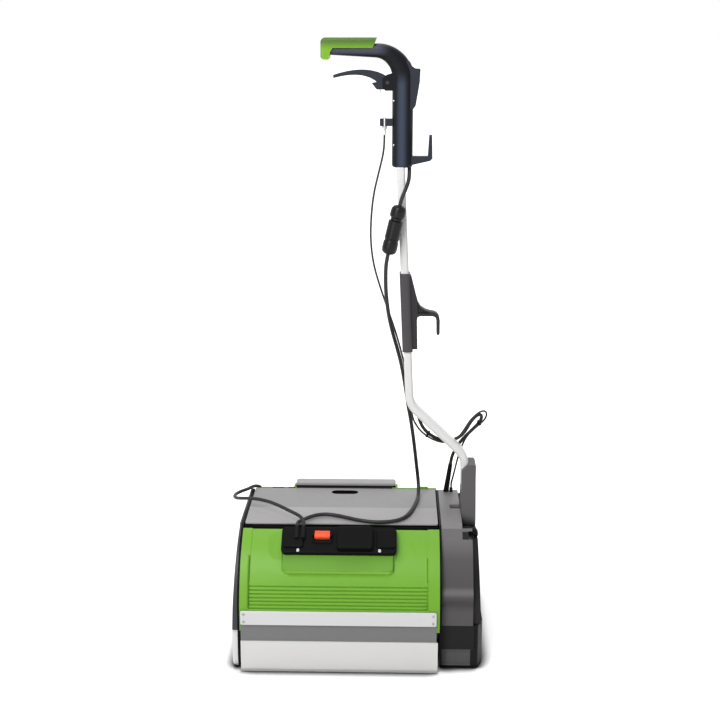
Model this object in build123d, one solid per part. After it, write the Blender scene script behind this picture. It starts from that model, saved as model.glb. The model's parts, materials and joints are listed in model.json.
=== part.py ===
from build123d import *
import math
import os

os.makedirs("parts", exist_ok=True)

# Upright floor scrubber with two counter-rotating brushes. Millimetres, +Z up, floor at Z = 0.
# The front is at -Y, the drive end and the handle pivot are at +X.

# Body: the span between the end plates and the side outline, which is alike front and rear
BODY_LEFT = -206.0
BODY_RIGHT = 150.0
PLATE = 4.0
TOP_Z = 243.5
TOP_HALF_Y = 101.0
SHOULDER_TOP_Y = 106.0
SHOULDER_TOP_Z = 236.0
SHOULDER_MID_Y = 165.0
SHOULDER_MID_Z = 189.0
HALF_DEPTH = 197.0
SHOULDER_LOW_Z = 117.0
SKIRT_LOW_Z = 8.0
CORNER_R = 16.0
SEAT_GAP = 0.3
RUNNING_GAP = 0.05

# Covers
COVER_WALL = 5.0
COVER_LOW_Z = 76.0
COVER_BORDER = 17.0
PANEL_DROP = 1.2
RIB_COUNT = 7
RIB_PITCH = 6.2
RIB_WIDTH = 2.8
RIB_DEPTH = 2.0
RIB_LOW_Z = 118.0
LEDGE_DEPTH = 14.0
LEDGE_THICK = 3.0
LEDGE_Z = 228.0
REAR_RIM_TOP_Z = 244.2
REAR_RIM = 3.5
REAR_RIM_LEFT = -192.0
HUMP_X = 126.0
HUMP_WIDTH = 16.0
HUMP = 2.8

# Aprons
BAND_THICK = 2.0
STRIP_THICK = 3.0
SHEET_THICK = 3.0
APRON_LEFT = -204.0
APRON_RIGHT = 147.0
STRIP_RIGHT = 144.5
STRIP_LOW_Z = 89.0
STRIP_TOP_Z = 115.0
BAND_LOW_Z = 50.0
SHEET_TOP_Z = 58.0
SHEET_EDGE_Z = 6.0
SHEET_EDGE = 1.6
STRIP_SCREW_R = 3.0
STRIP_SCREW_HEAD = 1.4

# Left end
LEFT_COVER_TOP_X = -213.0
LEFT_COVER_LOW_X = -219.5
LEFT_SKIRT_X = -220.5
LEFT_SKIRT_TOP_Z = 76.0
LEFT_SKIRT_LOW_Z = 2.0
LEFT_SKIRT_ROUND = 6.0
LEFT_WALL = 3.0

# Drive end
HOUSING_RIGHT = 210.0
HOUSING_INSET = 15.0
HOUSING_WALL = 4.0
HOUSING_LOW_Z = 83.0
LID_Z = 236.5
LID_RIGHT = 192.0
RIM_Y = 97.0
RIM_TOP_Z = 236.0
NOTCH_X = 203.0
NOTCH_TOP_Z = 233.5
BUFFER = 15.0
BEAD_R = 16.0
BEAD_SINK = 16.5
BEAD_Z = 134.0
OUTBOARD_TOP_Z = 222.0
SCOOP_R = 49.5
SIDE_TOP_X = 219.0
SIDE_LOW_X = 224.5
SIDE_INSET = 22.0
GUARD_RIGHT = 228.0
GUARD_INSET = 16.0
GUARD_SPLIT_Z = 37.0
GUARD_LOW_Z = 6.0
GUARD_CHAMFER = 9.0
GUARD_SLIT_X = 212.5
GUARD_SLIT = 1.8
GUARD_PANEL_RIGHT = 206.0

# Brushes, rollers and drive train
BRUSH_Y = 96.0
BRUSH_R = 52.0
BRUSH_CLEAR_Z = 0.3
SLEEVE_R = 30.0
SLEEVE_BORE = 22.0
BRUSH_END_GAP = 5.0
BRISTLE_ROWS = 10
BRISTLES_PER_ROW = 20
BRISTLE_SIZE = 4.0
BRISTLE_TWIST = 60.0
SHAFT_R = 8.0
BEARING_R = 14.0
GEAR_TEETH = 32
GEAR_MODULE = 2.0
GEAR_BACKLASH = 0.35
GEAR_LEFT = 160.0
GEAR_WIDTH = 14.0
PULLEY_LEFT = 176.0
PULLEY_WIDTH = 10.0
IDLER_PULLEY_R = 24.0
AXLE_R = 7.0
CONVEYOR_Z = 100.0
CONVEYOR_R = 26.0
CONVEYOR_CORE_R = 19.0
CONVEYOR_VANES = 8
CONVEYOR_SHAFT_R = 6.0
CONVEYOR_BEARING_R = 11.0
CONVEYOR_PULLEY_R = 22.0
MOTOR_Y = 55.0
MOTOR_Z = 149.0
MOTOR_R = 35.0
MOTOR_LENGTH = 185.0
MOTOR_SHAFT_R = 5.0
MOTOR_PULLEY_R = 14.0
BELT_THICK = 3.0
BELT_GAP = 0.3

# Tank and recovery tray
TANK_SIDE_GAP = 2.0
TANK_HALF_Y = 86.0
TANK_LOW_Z = 189.0
TANK_WALL = 3.0
TANK_RIM_Z = 231.0
TANK_RIM_TOP_Z = 237.5
TANK_RIM_HALF_Y = 98.0
TANK_LID_FRONT_Y = -95.0
TANK_LID_CREASE_Y = -11.0
TANK_LID_SLOPE = 1.5
TANK_LID_LIP = 2.0
TANK_LID_UNDERCUT = 6.0
FINGER_SLOT_X = -28.0
FINGER_SLOT_Y = 78.0
FINGER_SLOT_LENGTH = 52.0
FINGER_SLOT_WIDTH = 22.0
TRAY_FRONT_Y = -158.0
TRAY_REAR_Y = -34.0
TRAY_LOW_Z = 120.0
TRAY_TOP_Z = 172.0
TRAY_WALL = 2.5

# Carry bar
BAR_LEFT = -126.0
BAR_RIGHT = 71.0
BAR_Y = 124.0
BAR_LOW_Z = 238.0
BAR_TOP_Z = 252.5
BAR_DEPTH = 26.0
BAR_FOOT = 18.0
BAR_EAR = 4.0
BAR_EAR_TOP_Z = 242.5

# Switch panel: it lies on the sloped front cover, and its own frame has its normal along the slope's
PANEL_X = -30.5
PANEL_Y = -134.0
PANEL_Z = 220.5
PANEL_TILT = 38.0
PANEL_WIDTH = 207.0
PANEL_HEIGHT = 54.0
PANEL_BASE = 9.0
PANEL_CORNER = 9.0
BOSS_WIDTH = 197.0
BOSS_HEIGHT = 84.0
BOSS_DROP = 17.0
DISH_R = 70.0
DISH_DEPTH = 4.8
DISH_SIDE = 5.0
ROCKER_X = -30.0
ROCKER_Y = 7.0
ROCKER_WIDTH = 27.0
ROCKER_LENGTH = 17.0
ROCKER_SHROUD = 9.0
ROCKER_PIN_R = 2.5
GLAND_X = -76.0
GLAND_STEP = 11.0
GLAND_RISE = 12.5
GLAND_LENGTH = 25.0
GLAND_R = 4.6
GLAND_TIP_R = 3.9
GLAND_BLOCK_X = -81.5
GLAND_BLOCK_WIDTH = 37.0
BLOCK_HEIGHT = 37.0
BLOCK_RISE = 12.5
BLOCK_Y = 1.5
BLOCK_CORNER = 5.0
BREAKER_X = 29.0
BREAKER_WIDTH = 64.0
BREAKER_HEIGHT = 46.0
BREAKER_RISE = 20.0
RELAY_X = 85.0
RELAY_WIDTH = 35.0
PANEL_SCREW_X = 73.0
PANEL_SCREW_R = 3.4
GLAND_TOP_Y = 0.0

# Handle: pivot, bracket, tube and grip
PIVOT_Z = 232.0
PIVOT_R = 10.0
PIVOT_FLANGE_R = 17.0
PIN_HEAD = 4.5
PIN_HEAD_R = 15.0
PIVOT_LEFT = 170.0
BRACKET_LEFT = 193.0
BRACKET_RIGHT = 220.0
BRACKET_R = 40.0
BRACKET_WAIST_Z = 300.0
BRACKET_TOP_Z = 333.0
BRACKET_HALF_Y = 25.0
BRACKET_CHAMFER = 12.0
TUBE_WIDTH = 15.0
TUBE_DEPTH = 30.0
TUBE_CORNER = 5.0
TUBE_TOP_X = 75.0
TUBE_TUCK = 25.0
TUBE_BEND = (95.5, 444.3)
TUBE_KNEE = (199.3, 345.5)
TUBE_FOOT = (199.3, 292.0)
TUBE_BEND_R = 45.0
TUBE_KNEE_R = 45.0
STEM_X = 78.7
STEM_LENGTH = 225.0
STEM_WIDTH = 37.0
STEM_DEPTH = 34.0
ELBOW_R = 47.7
ARM_END_X = -56.0
CAP_LEFT = -65.5
CAP_RIGHT = 33.0
CAP_TOP_Z = 1105.0
CAP_THICK = 18.0
CAP_NOSE = 38.0
CAP_HALF_Y = 16.0
ARM_DROP = 4.3
INLET_HEIGHT = 70.0
INLET_HALF_Y = 13.0
LEVER_PIN_X = 51.5
LEVER_PIN_DROP = 7.0
LEVER_LENGTH = 95.5
LEVER_PIN_R = 3.0
LEVER_HALF_Y = 8.0
CLEVIS_WALL = 3.5
ADJUSTER_X = 46.7
ADJUSTER_DROP = 62.5
ADJUSTER_HEIGHT = 13.0
ADJUSTER_HALF_Y = 7.0
ADJUSTER_R = 3.0
BARREL_LENGTH = 15.5
HOOK_HALF_Y = 10.0
SLEEVE_LOW_Z = 545.0
SLEEVE_TOP_Z = 690.0
SLEEVE_WALL = 2.0
HOOK_REACH = 52.0
HOOK_WEB = 4.0
UPPER_HOOK_REACH = 35.0

# Cables
MAINS_D = 7.0
LEAD_D = 6.5
CONTROL_D = 3.6
WIRE_D = 1.6
NO_CUT = 0.0
COUPLER_R = 13.8
LOOP_Z = 430.0
HANG_HEIGHT = 450.0
LEAD_SLEEVE_TOP = (176.0, 68.0, 306.0)
LEAD_SLEEVE_LOW = (168.5, 90.5, 240.0)
FERRULE = (178.8, 87.0)
FERRULE_HEIGHT = 8.0
GROMMET = (-196.0, 117.0)

# Places that follow from the sizes above
BRUSH_Z = BRUSH_R + BRUSH_CLEAR_Z
GEAR_R = GEAR_TEETH * GEAR_MODULE / 2
IDLER_Y = BRUSH_Y - 2 * GEAR_R
BAND_Y = HALF_DEPTH + BAND_THICK
APRON_Y = BAND_Y + STRIP_THICK
SHEET_Y = BAND_Y + SHEET_THICK
LEFT_PLATE_X = BODY_LEFT - PLATE
RIGHT_PLATE_X = BODY_RIGHT + PLATE
STEM_LOW_Z = CAP_TOP_Z - STEM_LENGTH
TUBE_TOP = (TUBE_TOP_X, STEM_LOW_Z + TUBE_TUCK)
CAP_LOW_Z = CAP_TOP_Z - CAP_THICK
CAP_NOSE_Z = CAP_TOP_Z - CAP_NOSE
STEM_STRAIGHT_Z = CAP_LOW_Z - ARM_DROP - ELBOW_R
LEVER_PIN_Z = STEM_STRAIGHT_Z - LEVER_PIN_DROP
ADJUSTER_TOP_Z = LEVER_PIN_Z - ADJUSTER_DROP
ADJUSTER_LOW_Z = ADJUSTER_TOP_Z - ADJUSTER_HEIGHT
FERRULE_Z = ADJUSTER_LOW_Z - BARREL_LENGTH
FERRULE_TOP_Z = TOP_Z + FERRULE_HEIGHT


def save(name, shape):
    """Write one named piece."""
    export_step(shape, f"parts/{name}.step")


def block(x0, x1, y0, y1, z0, z1):
    """A box from its two corners."""
    return Pos((x0 + x1) / 2, (y0 + y1) / 2, (z0 + z1) / 2) * Box(x1 - x0, y1 - y0, z1 - z0)


def rod_x(x0, x1, y, z, r):
    """A round bar along X."""
    return Pos((x0 + x1) / 2, y, z) * Rot(0, 90, 0) * Cylinder(r, x1 - x0)


def rod_y(x, z, y0, y1, r):
    """A round bar along Y."""
    return Pos(x, (y0 + y1) / 2, z) * Rot(90, 0, 0) * Cylinder(r, y1 - y0)


def rod_z(x, y, z0, z1, r):
    """A round bar along Z."""
    return Pos(x, y, (z0 + z1) / 2) * Cylinder(r, z1 - z0)


def along_x(face, x0, x1):
    """Extrude a sketch drawn with Y to the right and Z up, from x0 to x1."""
    return Pos(x0, 0, 0) * extrude(Plane.YZ * face, amount=x1 - x0)


def across_y(face, half):
    """Extrude a sketch drawn with X to the right and Z up, to both sides of the middle plane."""
    return extrude(Plane.XZ * face, amount=half, both=True)


def placed(origin, unit, shape):
    """An outline drawn in hundredths of a named length, put at its origin."""
    return [(origin[0] + unit * x / 100, origin[1] + unit * z / 100) for x, z in shape]


def front_and_rear(shape):
    """The shape and its mirror image behind the middle plane."""
    return [shape, mirror(shape, Plane.XZ)]


def body_outline(low_z, set_back=0.0):
    """The closed side outline of the body: flat top, round shoulders, straight skirts."""
    depth = HALF_DEPTH - set_back
    edges = []
    for side in (-1, 1):
        skirt = (side * depth, SHOULDER_LOW_Z)
        shoulder = (side * (SHOULDER_TOP_Y - set_back / 4), SHOULDER_TOP_Z)
        middle = (side * (SHOULDER_MID_Y - set_back), SHOULDER_MID_Z)
        edges.append(Line((side * depth, low_z), skirt))
        edges.append(ThreePointArc(skirt, middle, shoulder))
        edges.append(Line(shoulder, (side * (TOP_HALF_Y - set_back / 4), TOP_Z)))
    edges.append(Line((-depth, low_z), (depth, low_z)))
    edges.append(Line((-TOP_HALF_Y + set_back / 4, TOP_Z), (TOP_HALF_Y - set_back / 4, TOP_Z)))
    return make_face(edges)


def inset_outline(inset, low_z):
    """The body outline moved inwards, cut at its own lower edge."""
    face = offset(body_outline(NO_CUT - 4 * CORNER_R), amount=-inset)
    keep = Pos(0, low_z + TOP_Z) * Rectangle(4 * HALF_DEPTH, 2 * TOP_Z)
    return face & keep


# Gears and belt


def tooth_half_angle(radius):
    """Half the angle that an involute tooth fills at a radius."""
    pressure = math.radians(20)
    base = GEAR_R * math.cos(pressure)
    here = math.acos(min(1.0, base / radius))
    flank = math.tan(pressure) - pressure - (math.tan(here) - here)
    return math.pi / (2 * GEAR_TEETH) - GEAR_BACKLASH / (2 * GEAR_R) + flank


def spur_gear(y, z, bore, first_tooth):
    """A spur gear on an X axis, with its first tooth at an angle from +Y."""
    base = GEAR_R * math.cos(math.radians(20))
    root = GEAR_R - 1.25 * GEAR_MODULE
    tip = GEAR_R + 0.9 * GEAR_MODULE
    radii = [base, (base + GEAR_R) / 2, GEAR_R, (GEAR_R + tip) / 2, tip]
    points = []
    for tooth in range(GEAR_TEETH):
        middle = math.radians(first_tooth) + 2 * math.pi * tooth / GEAR_TEETH
        rising = [(root, -tooth_half_angle(base))] + [(r, -tooth_half_angle(r)) for r in radii]
        falling = [(r, -turn) for r, turn in reversed(rising)]
        for r, turn in rising + falling:
            points.append((y + r * math.cos(middle + turn), z + r * math.sin(middle + turn)))
    face = make_face(Polyline(*points, close=True))
    gear = along_x(face, GEAR_LEFT, GEAR_LEFT + GEAR_WIDTH)
    return gear - rod_x(GEAR_LEFT, GEAR_LEFT + GEAR_WIDTH, y, z, bore)


def belt_loop(pulleys, gap):
    """The face inside a belt that goes round pulleys, given as (y, z, radius) in turning order."""
    face = None
    for (y0, z0, r0), (y1, z1, r1) in zip(pulleys, pulleys[1:] + pulleys[:1]):
        length = math.hypot(y1 - y0, z1 - z0)
        heading = math.atan2(z1 - z0, y1 - y0)
        lean = math.acos((r0 - r1) / length)
        side = (math.cos(heading - lean), math.sin(heading - lean))
        corners = [(y0, z0), (y0 + (r0 + gap) * side[0], z0 + (r0 + gap) * side[1])]
        corners += [(y1 + (r1 + gap) * side[0], z1 + (r1 + gap) * side[1]), (y1, z1)]
        strip = make_face(Polyline(*corners, close=True))
        disc = Pos(y0, z0) * Circle(r0 + gap)
        face = strip + disc if face is None else face + strip + disc
    middle = make_face(Polyline(*[(y, z) for y, z, _ in pulleys], close=True))
    return face + middle


# End plates and the left end


def shaft_holes(x0, x1):
    """The bearing seats that both end plates have."""
    holes = [rod_x(x0, x1, side * BRUSH_Y, BRUSH_Z, BEARING_R) for side in (-1, 1)]
    return holes + [rod_x(x0, x1, 0, CONVEYOR_Z, CONVEYOR_BEARING_R)]


plate_face = inset_outline(1.5, SKIRT_LOW_Z)
plate_face = fillet(plate_face.vertices().group_by(Axis.Y)[0], CORNER_R)
left_end_plate = along_x(plate_face, LEFT_PLATE_X, BODY_LEFT) - shaft_holes(LEFT_PLATE_X, BODY_LEFT)
right_end_plate = along_x(plate_face, BODY_RIGHT, RIGHT_PLATE_X) - shaft_holes(BODY_RIGHT, RIGHT_PLATE_X)
right_end_plate -= rod_x(BODY_RIGHT, RIGHT_PLATE_X, MOTOR_Y, MOTOR_Z, MOTOR_SHAFT_R + 2)
for idler_side in (-1, 1):
    right_end_plate -= rod_x(BODY_RIGHT, RIGHT_PLATE_X, idler_side * IDLER_Y, BRUSH_Z, AXLE_R)
save("left_end_plate", left_end_plate)
save("right_end_plate", right_end_plate)


def sloped_end(face, inner_x, top_x, low_x, low_z, wall):
    """A hollow end cover whose outer face leans from top_x at the top to low_x at low_z."""
    away = 1 if low_x > inner_x else -1
    reach = low_x + away * CORNER_R
    outer = along_x(face, inner_x, reach) if away > 0 else along_x(face, reach, inner_x)
    inner_face = offset(face, amount=-wall)
    inner = along_x(inner_face, inner_x, reach) if away > 0 else along_x(inner_face, reach, inner_x)

    def beyond(shift):
        """The space outside the leaning face."""
        lean = [(top_x + shift, TOP_Z), (low_x + shift, low_z), (low_x + shift, -TOP_Z)]
        far = [(reach + away * TOP_Z, -TOP_Z), (reach + away * TOP_Z, 2 * TOP_Z), (top_x + shift, 2 * TOP_Z)]
        return across_y(make_face(Polyline(*lean, *far, close=True)), 2 * HALF_DEPTH)

    return (outer - beyond(0)) - (inner - beyond(-away * wall))


left_face = inset_outline(0.5, LEFT_SKIRT_TOP_Z + 1)
left_side_cover = sloped_end(left_face, LEFT_PLATE_X, LEFT_COVER_TOP_X, LEFT_COVER_LOW_X, LEFT_SKIRT_TOP_Z, LEFT_WALL)
left_side_cover = fillet(left_side_cover.edges().filter_by(GeomType.LINE).group_by(Axis.X)[0], 2)
save("left_side_cover", left_side_cover)

skirt_low = Pos(0, (LEFT_SKIRT_LOW_Z + LEFT_SKIRT_TOP_Z) / 2) * Rectangle(
    2 * (HALF_DEPTH - 4), LEFT_SKIRT_TOP_Z - LEFT_SKIRT_LOW_Z
)
skirt_low = fillet(skirt_low.vertices().group_by(Axis.Y)[0], CORNER_R)
left_side_skirt = along_x(skirt_low, LEFT_SKIRT_X, LEFT_PLATE_X)
left_side_skirt -= along_x(offset(skirt_low, amount=-LEFT_WALL), LEFT_SKIRT_X + LEFT_WALL, LEFT_PLATE_X)
outer_edges = left_side_skirt.faces().sort_by(Axis.X)[0].outer_wire().edges().sort_by(Axis.Z)
left_side_skirt = fillet(outer_edges[:-1], LEFT_SKIRT_ROUND)
save("left_side_skirt", left_side_skirt)


# Green covers with their ledges, recessed panels and ribs


def shoulder_point(z):
    """The distance of the outer cover face from the middle plane at a height on the shoulder."""
    low = (HALF_DEPTH, SHOULDER_LOW_Z)
    middle = (SHOULDER_MID_Y, SHOULDER_MID_Z)
    top = (SHOULDER_TOP_Y, SHOULDER_TOP_Z)
    arc = ThreePointArc(low, middle, top)
    centre = arc.arc_center
    return centre.X + math.sqrt(arc.radius ** 2 - (z - centre.Y) ** 2)


def cover_shell():
    """The front cover without the features that only one of the covers has."""
    region = Pos(-SHOULDER_TOP_Y - HALF_DEPTH, COVER_LOW_Z + TOP_Z) * Rectangle(2 * HALF_DEPTH, 2 * TOP_Z)
    outer = inset_outline(0, COVER_LOW_Z)
    inner = inset_outline(COVER_WALL, NO_CUT)
    border = (outer - inner) & region
    centre = (inset_outline(PANEL_DROP, COVER_LOW_Z) - inner) & region
    left = BODY_LEFT + COVER_BORDER
    right = BODY_RIGHT - COVER_BORDER - 4
    shell = along_x(border, BODY_LEFT, left) + along_x(centre, left, right) + along_x(border, right, BODY_RIGHT)
    rim = along_x(border, BODY_LEFT, BODY_RIGHT)
    rim &= block(BODY_LEFT, BODY_RIGHT, -HALF_DEPTH, -HALF_DEPTH + 30, COVER_LOW_Z, RIB_LOW_Z - 3)
    shell += rim
    ledge_y = -SHOULDER_TOP_Y - 4
    shell += block(BODY_LEFT, BODY_RIGHT, ledge_y, ledge_y + LEDGE_DEPTH + 4, LEDGE_Z, LEDGE_Z + LEDGE_THICK)
    for rib in range(RIB_COUNT):
        z = RIB_LOW_Z + rib * RIB_PITCH
        y = -shoulder_point(z) + PANEL_DROP
        shell -= block(left, right, y - RIB_DEPTH, y + RIB_DEPTH, z - RIB_WIDTH / 2, z + RIB_WIDTH / 2)
    return shell


PANEL = Location((PANEL_X, PANEL_Y, PANEL_Z), (PANEL_TILT, 0, 0))


def on_panel(x, y, z):
    """A place in the switch panel's own frame: X along it, Y up its slope, Z out of it."""
    return PANEL * Pos(x, y, z)


def pad(width, height, low, high, corner):
    """A slab with round corners, in the panel's own frame."""
    return extrude(Pos(0, 0, low) * RectangleRounded(width, height, corner), amount=high - low)


plain_cover = cover_shell()
inside = along_x(inset_outline(COVER_WALL, NO_CUT), BODY_LEFT, BODY_RIGHT)
boss = on_panel(-1, -BOSS_DROP, 0) * pad(BOSS_WIDTH, BOSS_HEIGHT, -30, 0, PANEL_CORNER)
boss &= block(BODY_LEFT, BODY_RIGHT, -HALF_DEPTH, -SHOULDER_TOP_Y - 1, RIB_LOW_Z, TOP_Z)
front_cover = plain_cover + (boss - inside)
panel_space = on_panel(0, 0, 0) * pad(PANEL_WIDTH + 2 * SEAT_GAP, PANEL_HEIGHT + 2 * SEAT_GAP, 0, 40, PANEL_CORNER)
front_cover -= panel_space
dish_middle = on_panel(0, 0, 0) * Box(PANEL_WIDTH - 2, 4 * PANEL_HEIGHT, 4 * DISH_R)
for side in (-1, 1):
    dish = on_panel(side * (PANEL_WIDTH / 2 + DISH_SIDE), 0, DISH_R - DISH_DEPTH) * Rot(90, 0, 0) * Cylinder(
        DISH_R, 2 * PANEL_HEIGHT
    )
    front_cover -= dish - dish_middle
save("front_cover", front_cover)

rear_cover = mirror(plain_cover, Plane.XZ)
foot_face = make_face(
    Polyline(
        (BAR_Y - BAR_DEPTH / 2 + 2, SHOULDER_TOP_Z - 18),
        (BAR_Y + BAR_DEPTH / 2 + 8, SHOULDER_TOP_Z - 26),
        (BAR_Y + BAR_DEPTH / 2 - 2, BAR_LOW_Z),
        (BAR_Y - BAR_DEPTH / 2 + 2, BAR_LOW_Z),
        close=True,
    )
)
ear_low_y = BAR_Y - BAR_DEPTH / 2 + 2
ear_high_y = BAR_Y + BAR_DEPTH / 2 - 4
for foot_left, ear_left in (
    (BAR_LEFT - BAR_EAR, BAR_LEFT - BAR_EAR), (BAR_RIGHT + BAR_EAR - BAR_FOOT, BAR_RIGHT + SEAT_GAP),
):
    rear_cover += along_x(foot_face, foot_left, foot_left + BAR_FOOT) - inside
    ear_right = ear_left + BAR_EAR - SEAT_GAP
    rear_cover += block(ear_left, ear_right, ear_low_y, ear_high_y, BAR_LOW_Z - 4, BAR_EAR_TOP_Z)
rear_cover += block(
    REAR_RIM_LEFT, BODY_RIGHT, SHOULDER_TOP_Y - REAR_RIM, SHOULDER_TOP_Y, LEDGE_Z, REAR_RIM_TOP_Z
)
rear_cover += block(
    HUMP_X - HUMP_WIDTH / 2, HUMP_X + HUMP_WIDTH / 2, SHOULDER_TOP_Y - REAR_RIM, SHOULDER_TOP_Y, LEDGE_Z,
    REAR_RIM_TOP_Z + HUMP,
)

bar_face = Pos((BAR_LEFT + BAR_RIGHT) / 2, (BAR_LOW_Z + BAR_TOP_Z) / 2) * RectangleRounded(
    BAR_RIGHT - BAR_LEFT, BAR_TOP_Z - BAR_LOW_Z, 4
)
carry_bar = Pos(0, BAR_Y, 0) * across_y(bar_face, BAR_DEPTH / 2)
carry_bar = fillet(carry_bar.edges().filter_by(Axis.X), 4)
grip_left = BAR_LEFT + BAR_FOOT
grip_right = BAR_RIGHT - BAR_FOOT
carry_bar -= block(grip_left, grip_right, BAR_Y - BAR_DEPTH / 2 + 4, BAR_Y + BAR_DEPTH / 2 - 4, BAR_LOW_Z, BAR_LOW_Z + 8)
save("carry_bar", carry_bar)


# Aprons: a clamp strip, a flexible band and a white sheet, front and rear


def apron_slab(right, y0, y1, z0, z1):
    """A flat strip of the front apron, from y0 out to y1."""
    return block(APRON_LEFT, right, -y1, -y0, z0, z1)


strip = apron_slab(STRIP_RIGHT, BAND_Y, APRON_Y, STRIP_LOW_Z, STRIP_TOP_Z)
strip = fillet(strip.edges().filter_by(Axis.Y), STRIP_THICK)
strip = fillet(strip.faces().sort_by(Axis.Y)[0].edges(), STRIP_THICK / 3)
band = apron_slab(STRIP_RIGHT, HALF_DEPTH, BAND_Y, BAND_LOW_Z, STRIP_TOP_Z - 2)
sheet = apron_slab(APRON_RIGHT, BAND_Y, SHEET_Y, 0, SHEET_TOP_Z)
sheet_edge = Polyline((-SHEET_Y, 0), (-SHEET_Y + SHEET_EDGE, 0), (-SHEET_Y, SHEET_EDGE_Z), close=True)
sheet -= along_x(make_face(sheet_edge), APRON_LEFT, APRON_RIGHT)
for name, piece in (("strip", strip), ("band", band), ("sheet", sheet)):
    front_piece, rear_piece = front_and_rear(piece)
    save(f"front_apron_{name}", front_piece)
    save(f"rear_apron_{name}", rear_piece)

screw_x = (APRON_LEFT + 6, STRIP_RIGHT - 6)
screw_z = (STRIP_LOW_Z + 6, STRIP_TOP_Z - 6)
screws = []
for x in screw_x:
    for z in screw_z:
        screws += front_and_rear(rod_y(x, z, -APRON_Y - STRIP_SCREW_HEAD, -APRON_Y, STRIP_SCREW_R))
for x in (-PANEL_SCREW_X, PANEL_SCREW_X):
    screws.append(on_panel(x, -PANEL_HEIGHT / 2 + 5, PANEL_BASE + 0.8) * Cylinder(PANEL_SCREW_R, 1.6))
save("panel_screws", Compound(children=screws))


# Switch panel


base_slab = pad(PANEL_WIDTH, PANEL_HEIGHT, 0, PANEL_BASE, PANEL_CORNER)
base_slab = fillet(base_slab.faces().sort_by(Axis.Z)[-1].edges(), 2)
gland_block = Pos(GLAND_BLOCK_X, BLOCK_Y, 0) * pad(GLAND_BLOCK_WIDTH, BLOCK_HEIGHT, 0, BLOCK_RISE, BLOCK_CORNER)
gland_block = fillet(gland_block.faces().sort_by(Axis.Z)[-1].edges(), BLOCK_RISE / 6)
relay_block = Pos(RELAY_X, BLOCK_Y, 0) * pad(RELAY_WIDTH, BLOCK_HEIGHT, 0, BLOCK_RISE, BLOCK_CORNER)
relay_block = fillet(relay_block.faces().sort_by(Axis.Z)[-1].edges(), BLOCK_RISE / 6)
shroud_wall = ROCKER_WIDTH / 5
shroud = Pos(ROCKER_X, ROCKER_Y, 0) * pad(
    ROCKER_WIDTH + 2 * shroud_wall, ROCKER_LENGTH + 2 * shroud_wall, 0, 1.3 * ROCKER_SHROUD, BLOCK_CORNER
)
switch_box = base_slab + gland_block + relay_block + shroud
ROCKER_AXIS_Z = ROCKER_SHROUD + 4
well_floor = ROCKER_AXIS_Z - 0.32 * ROCKER_LENGTH
switch_box -= Pos(ROCKER_X, ROCKER_Y, well_floor + ROCKER_LENGTH) * Box(
    ROCKER_WIDTH + 2, 1.1 * ROCKER_LENGTH, 2 * ROCKER_LENGTH
)
ear_height = 2.4 * ROCKER_PIN_R + ROCKER_AXIS_Z - well_floor
for pin_side in (-1, 1):
    ear_x = ROCKER_X + pin_side * (ROCKER_WIDTH / 2 + 2.5)
    switch_box += Pos(ear_x, ROCKER_Y, well_floor + ear_height / 2) * Box(3, 3.6 * ROCKER_PIN_R, ear_height)
switch_box = on_panel(0, 0, 0) * switch_box
rocker_pin = on_panel(ROCKER_X, ROCKER_Y, ROCKER_AXIS_Z) * Rot(0, 90, 0) * Cylinder(
    ROCKER_PIN_R + RUNNING_GAP, ROCKER_WIDTH + 8
)
switch_box -= rocker_pin

paddle_shape = [(-50, 32), (-36, 41), (0, 25), (36, 23), (50, 7), (48, -14), (0, -23), (-48, -14)]
paddle_points = placed((0, 0), ROCKER_LENGTH, paddle_shape)
paddle = extrude(Plane.YZ * make_face(Polyline(*paddle_points, close=True)), amount=ROCKER_WIDTH / 2, both=True)
paddle = fillet(paddle.edges().filter_by(Axis.X), ROCKER_LENGTH / 18)
paddle += Rot(0, 90, 0) * Cylinder(ROCKER_PIN_R, ROCKER_WIDTH + 7)
rocker_switch = on_panel(ROCKER_X, ROCKER_Y, ROCKER_AXIS_Z) * paddle
save("rocker_switch", rocker_switch)

breaker = pad(BREAKER_WIDTH, BREAKER_HEIGHT, PANEL_BASE, BREAKER_RISE, BLOCK_CORNER)
breaker = fillet(breaker.faces().sort_by(Axis.Z)[-1].edges(), BREAKER_RISE / 8)
breaker_cover = on_panel(BREAKER_X, 0, 0) * breaker
save("breaker_cover", breaker_cover)

gland_nut = Rot(-90, 0, 0) * Cone(
    GLAND_R, GLAND_TIP_R, GLAND_LENGTH, align=(Align.CENTER, Align.CENTER, Align.MIN)
)
glands = [on_panel(GLAND_X + n * GLAND_STEP, GLAND_TOP_Y, GLAND_RISE) * gland_nut for n in range(2)]
save("switch_box", switch_box - glands)


# Drive end: housing, lid, side cover, brush guards, buffers


housing_face = body_outline(HOUSING_LOW_Z, HOUSING_INSET)
housing = along_x(housing_face, RIGHT_PLATE_X, HOUSING_RIGHT)
hollow = along_x(offset(housing_face, amount=-HOUSING_WALL), RIGHT_PLATE_X, HOUSING_RIGHT - HOUSING_WALL)
hollow += block(
    RIGHT_PLATE_X, HOUSING_RIGHT - HOUSING_WALL, -HALF_DEPTH + HOUSING_INSET + HOUSING_WALL,
    HALF_DEPTH - HOUSING_INSET - HOUSING_WALL, HOUSING_LOW_Z, SHOULDER_LOW_Z,
)
outboard = along_x(housing_face, LID_RIGHT - HOUSING_WALL, HOUSING_RIGHT)
roof_z = OUTBOARD_TOP_Z - HOUSING_WALL
roof = outboard & block(0, HOUSING_RIGHT, -HALF_DEPTH, HALF_DEPTH, roof_z, OUTBOARD_TOP_Z)
step = outboard & block(0, LID_RIGHT, -HALF_DEPTH, HALF_DEPTH, roof_z, LID_Z)
cradle = outboard & rod_x(0, HOUSING_RIGHT, 0, PIVOT_Z, SCOOP_R + HOUSING_WALL)
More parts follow.
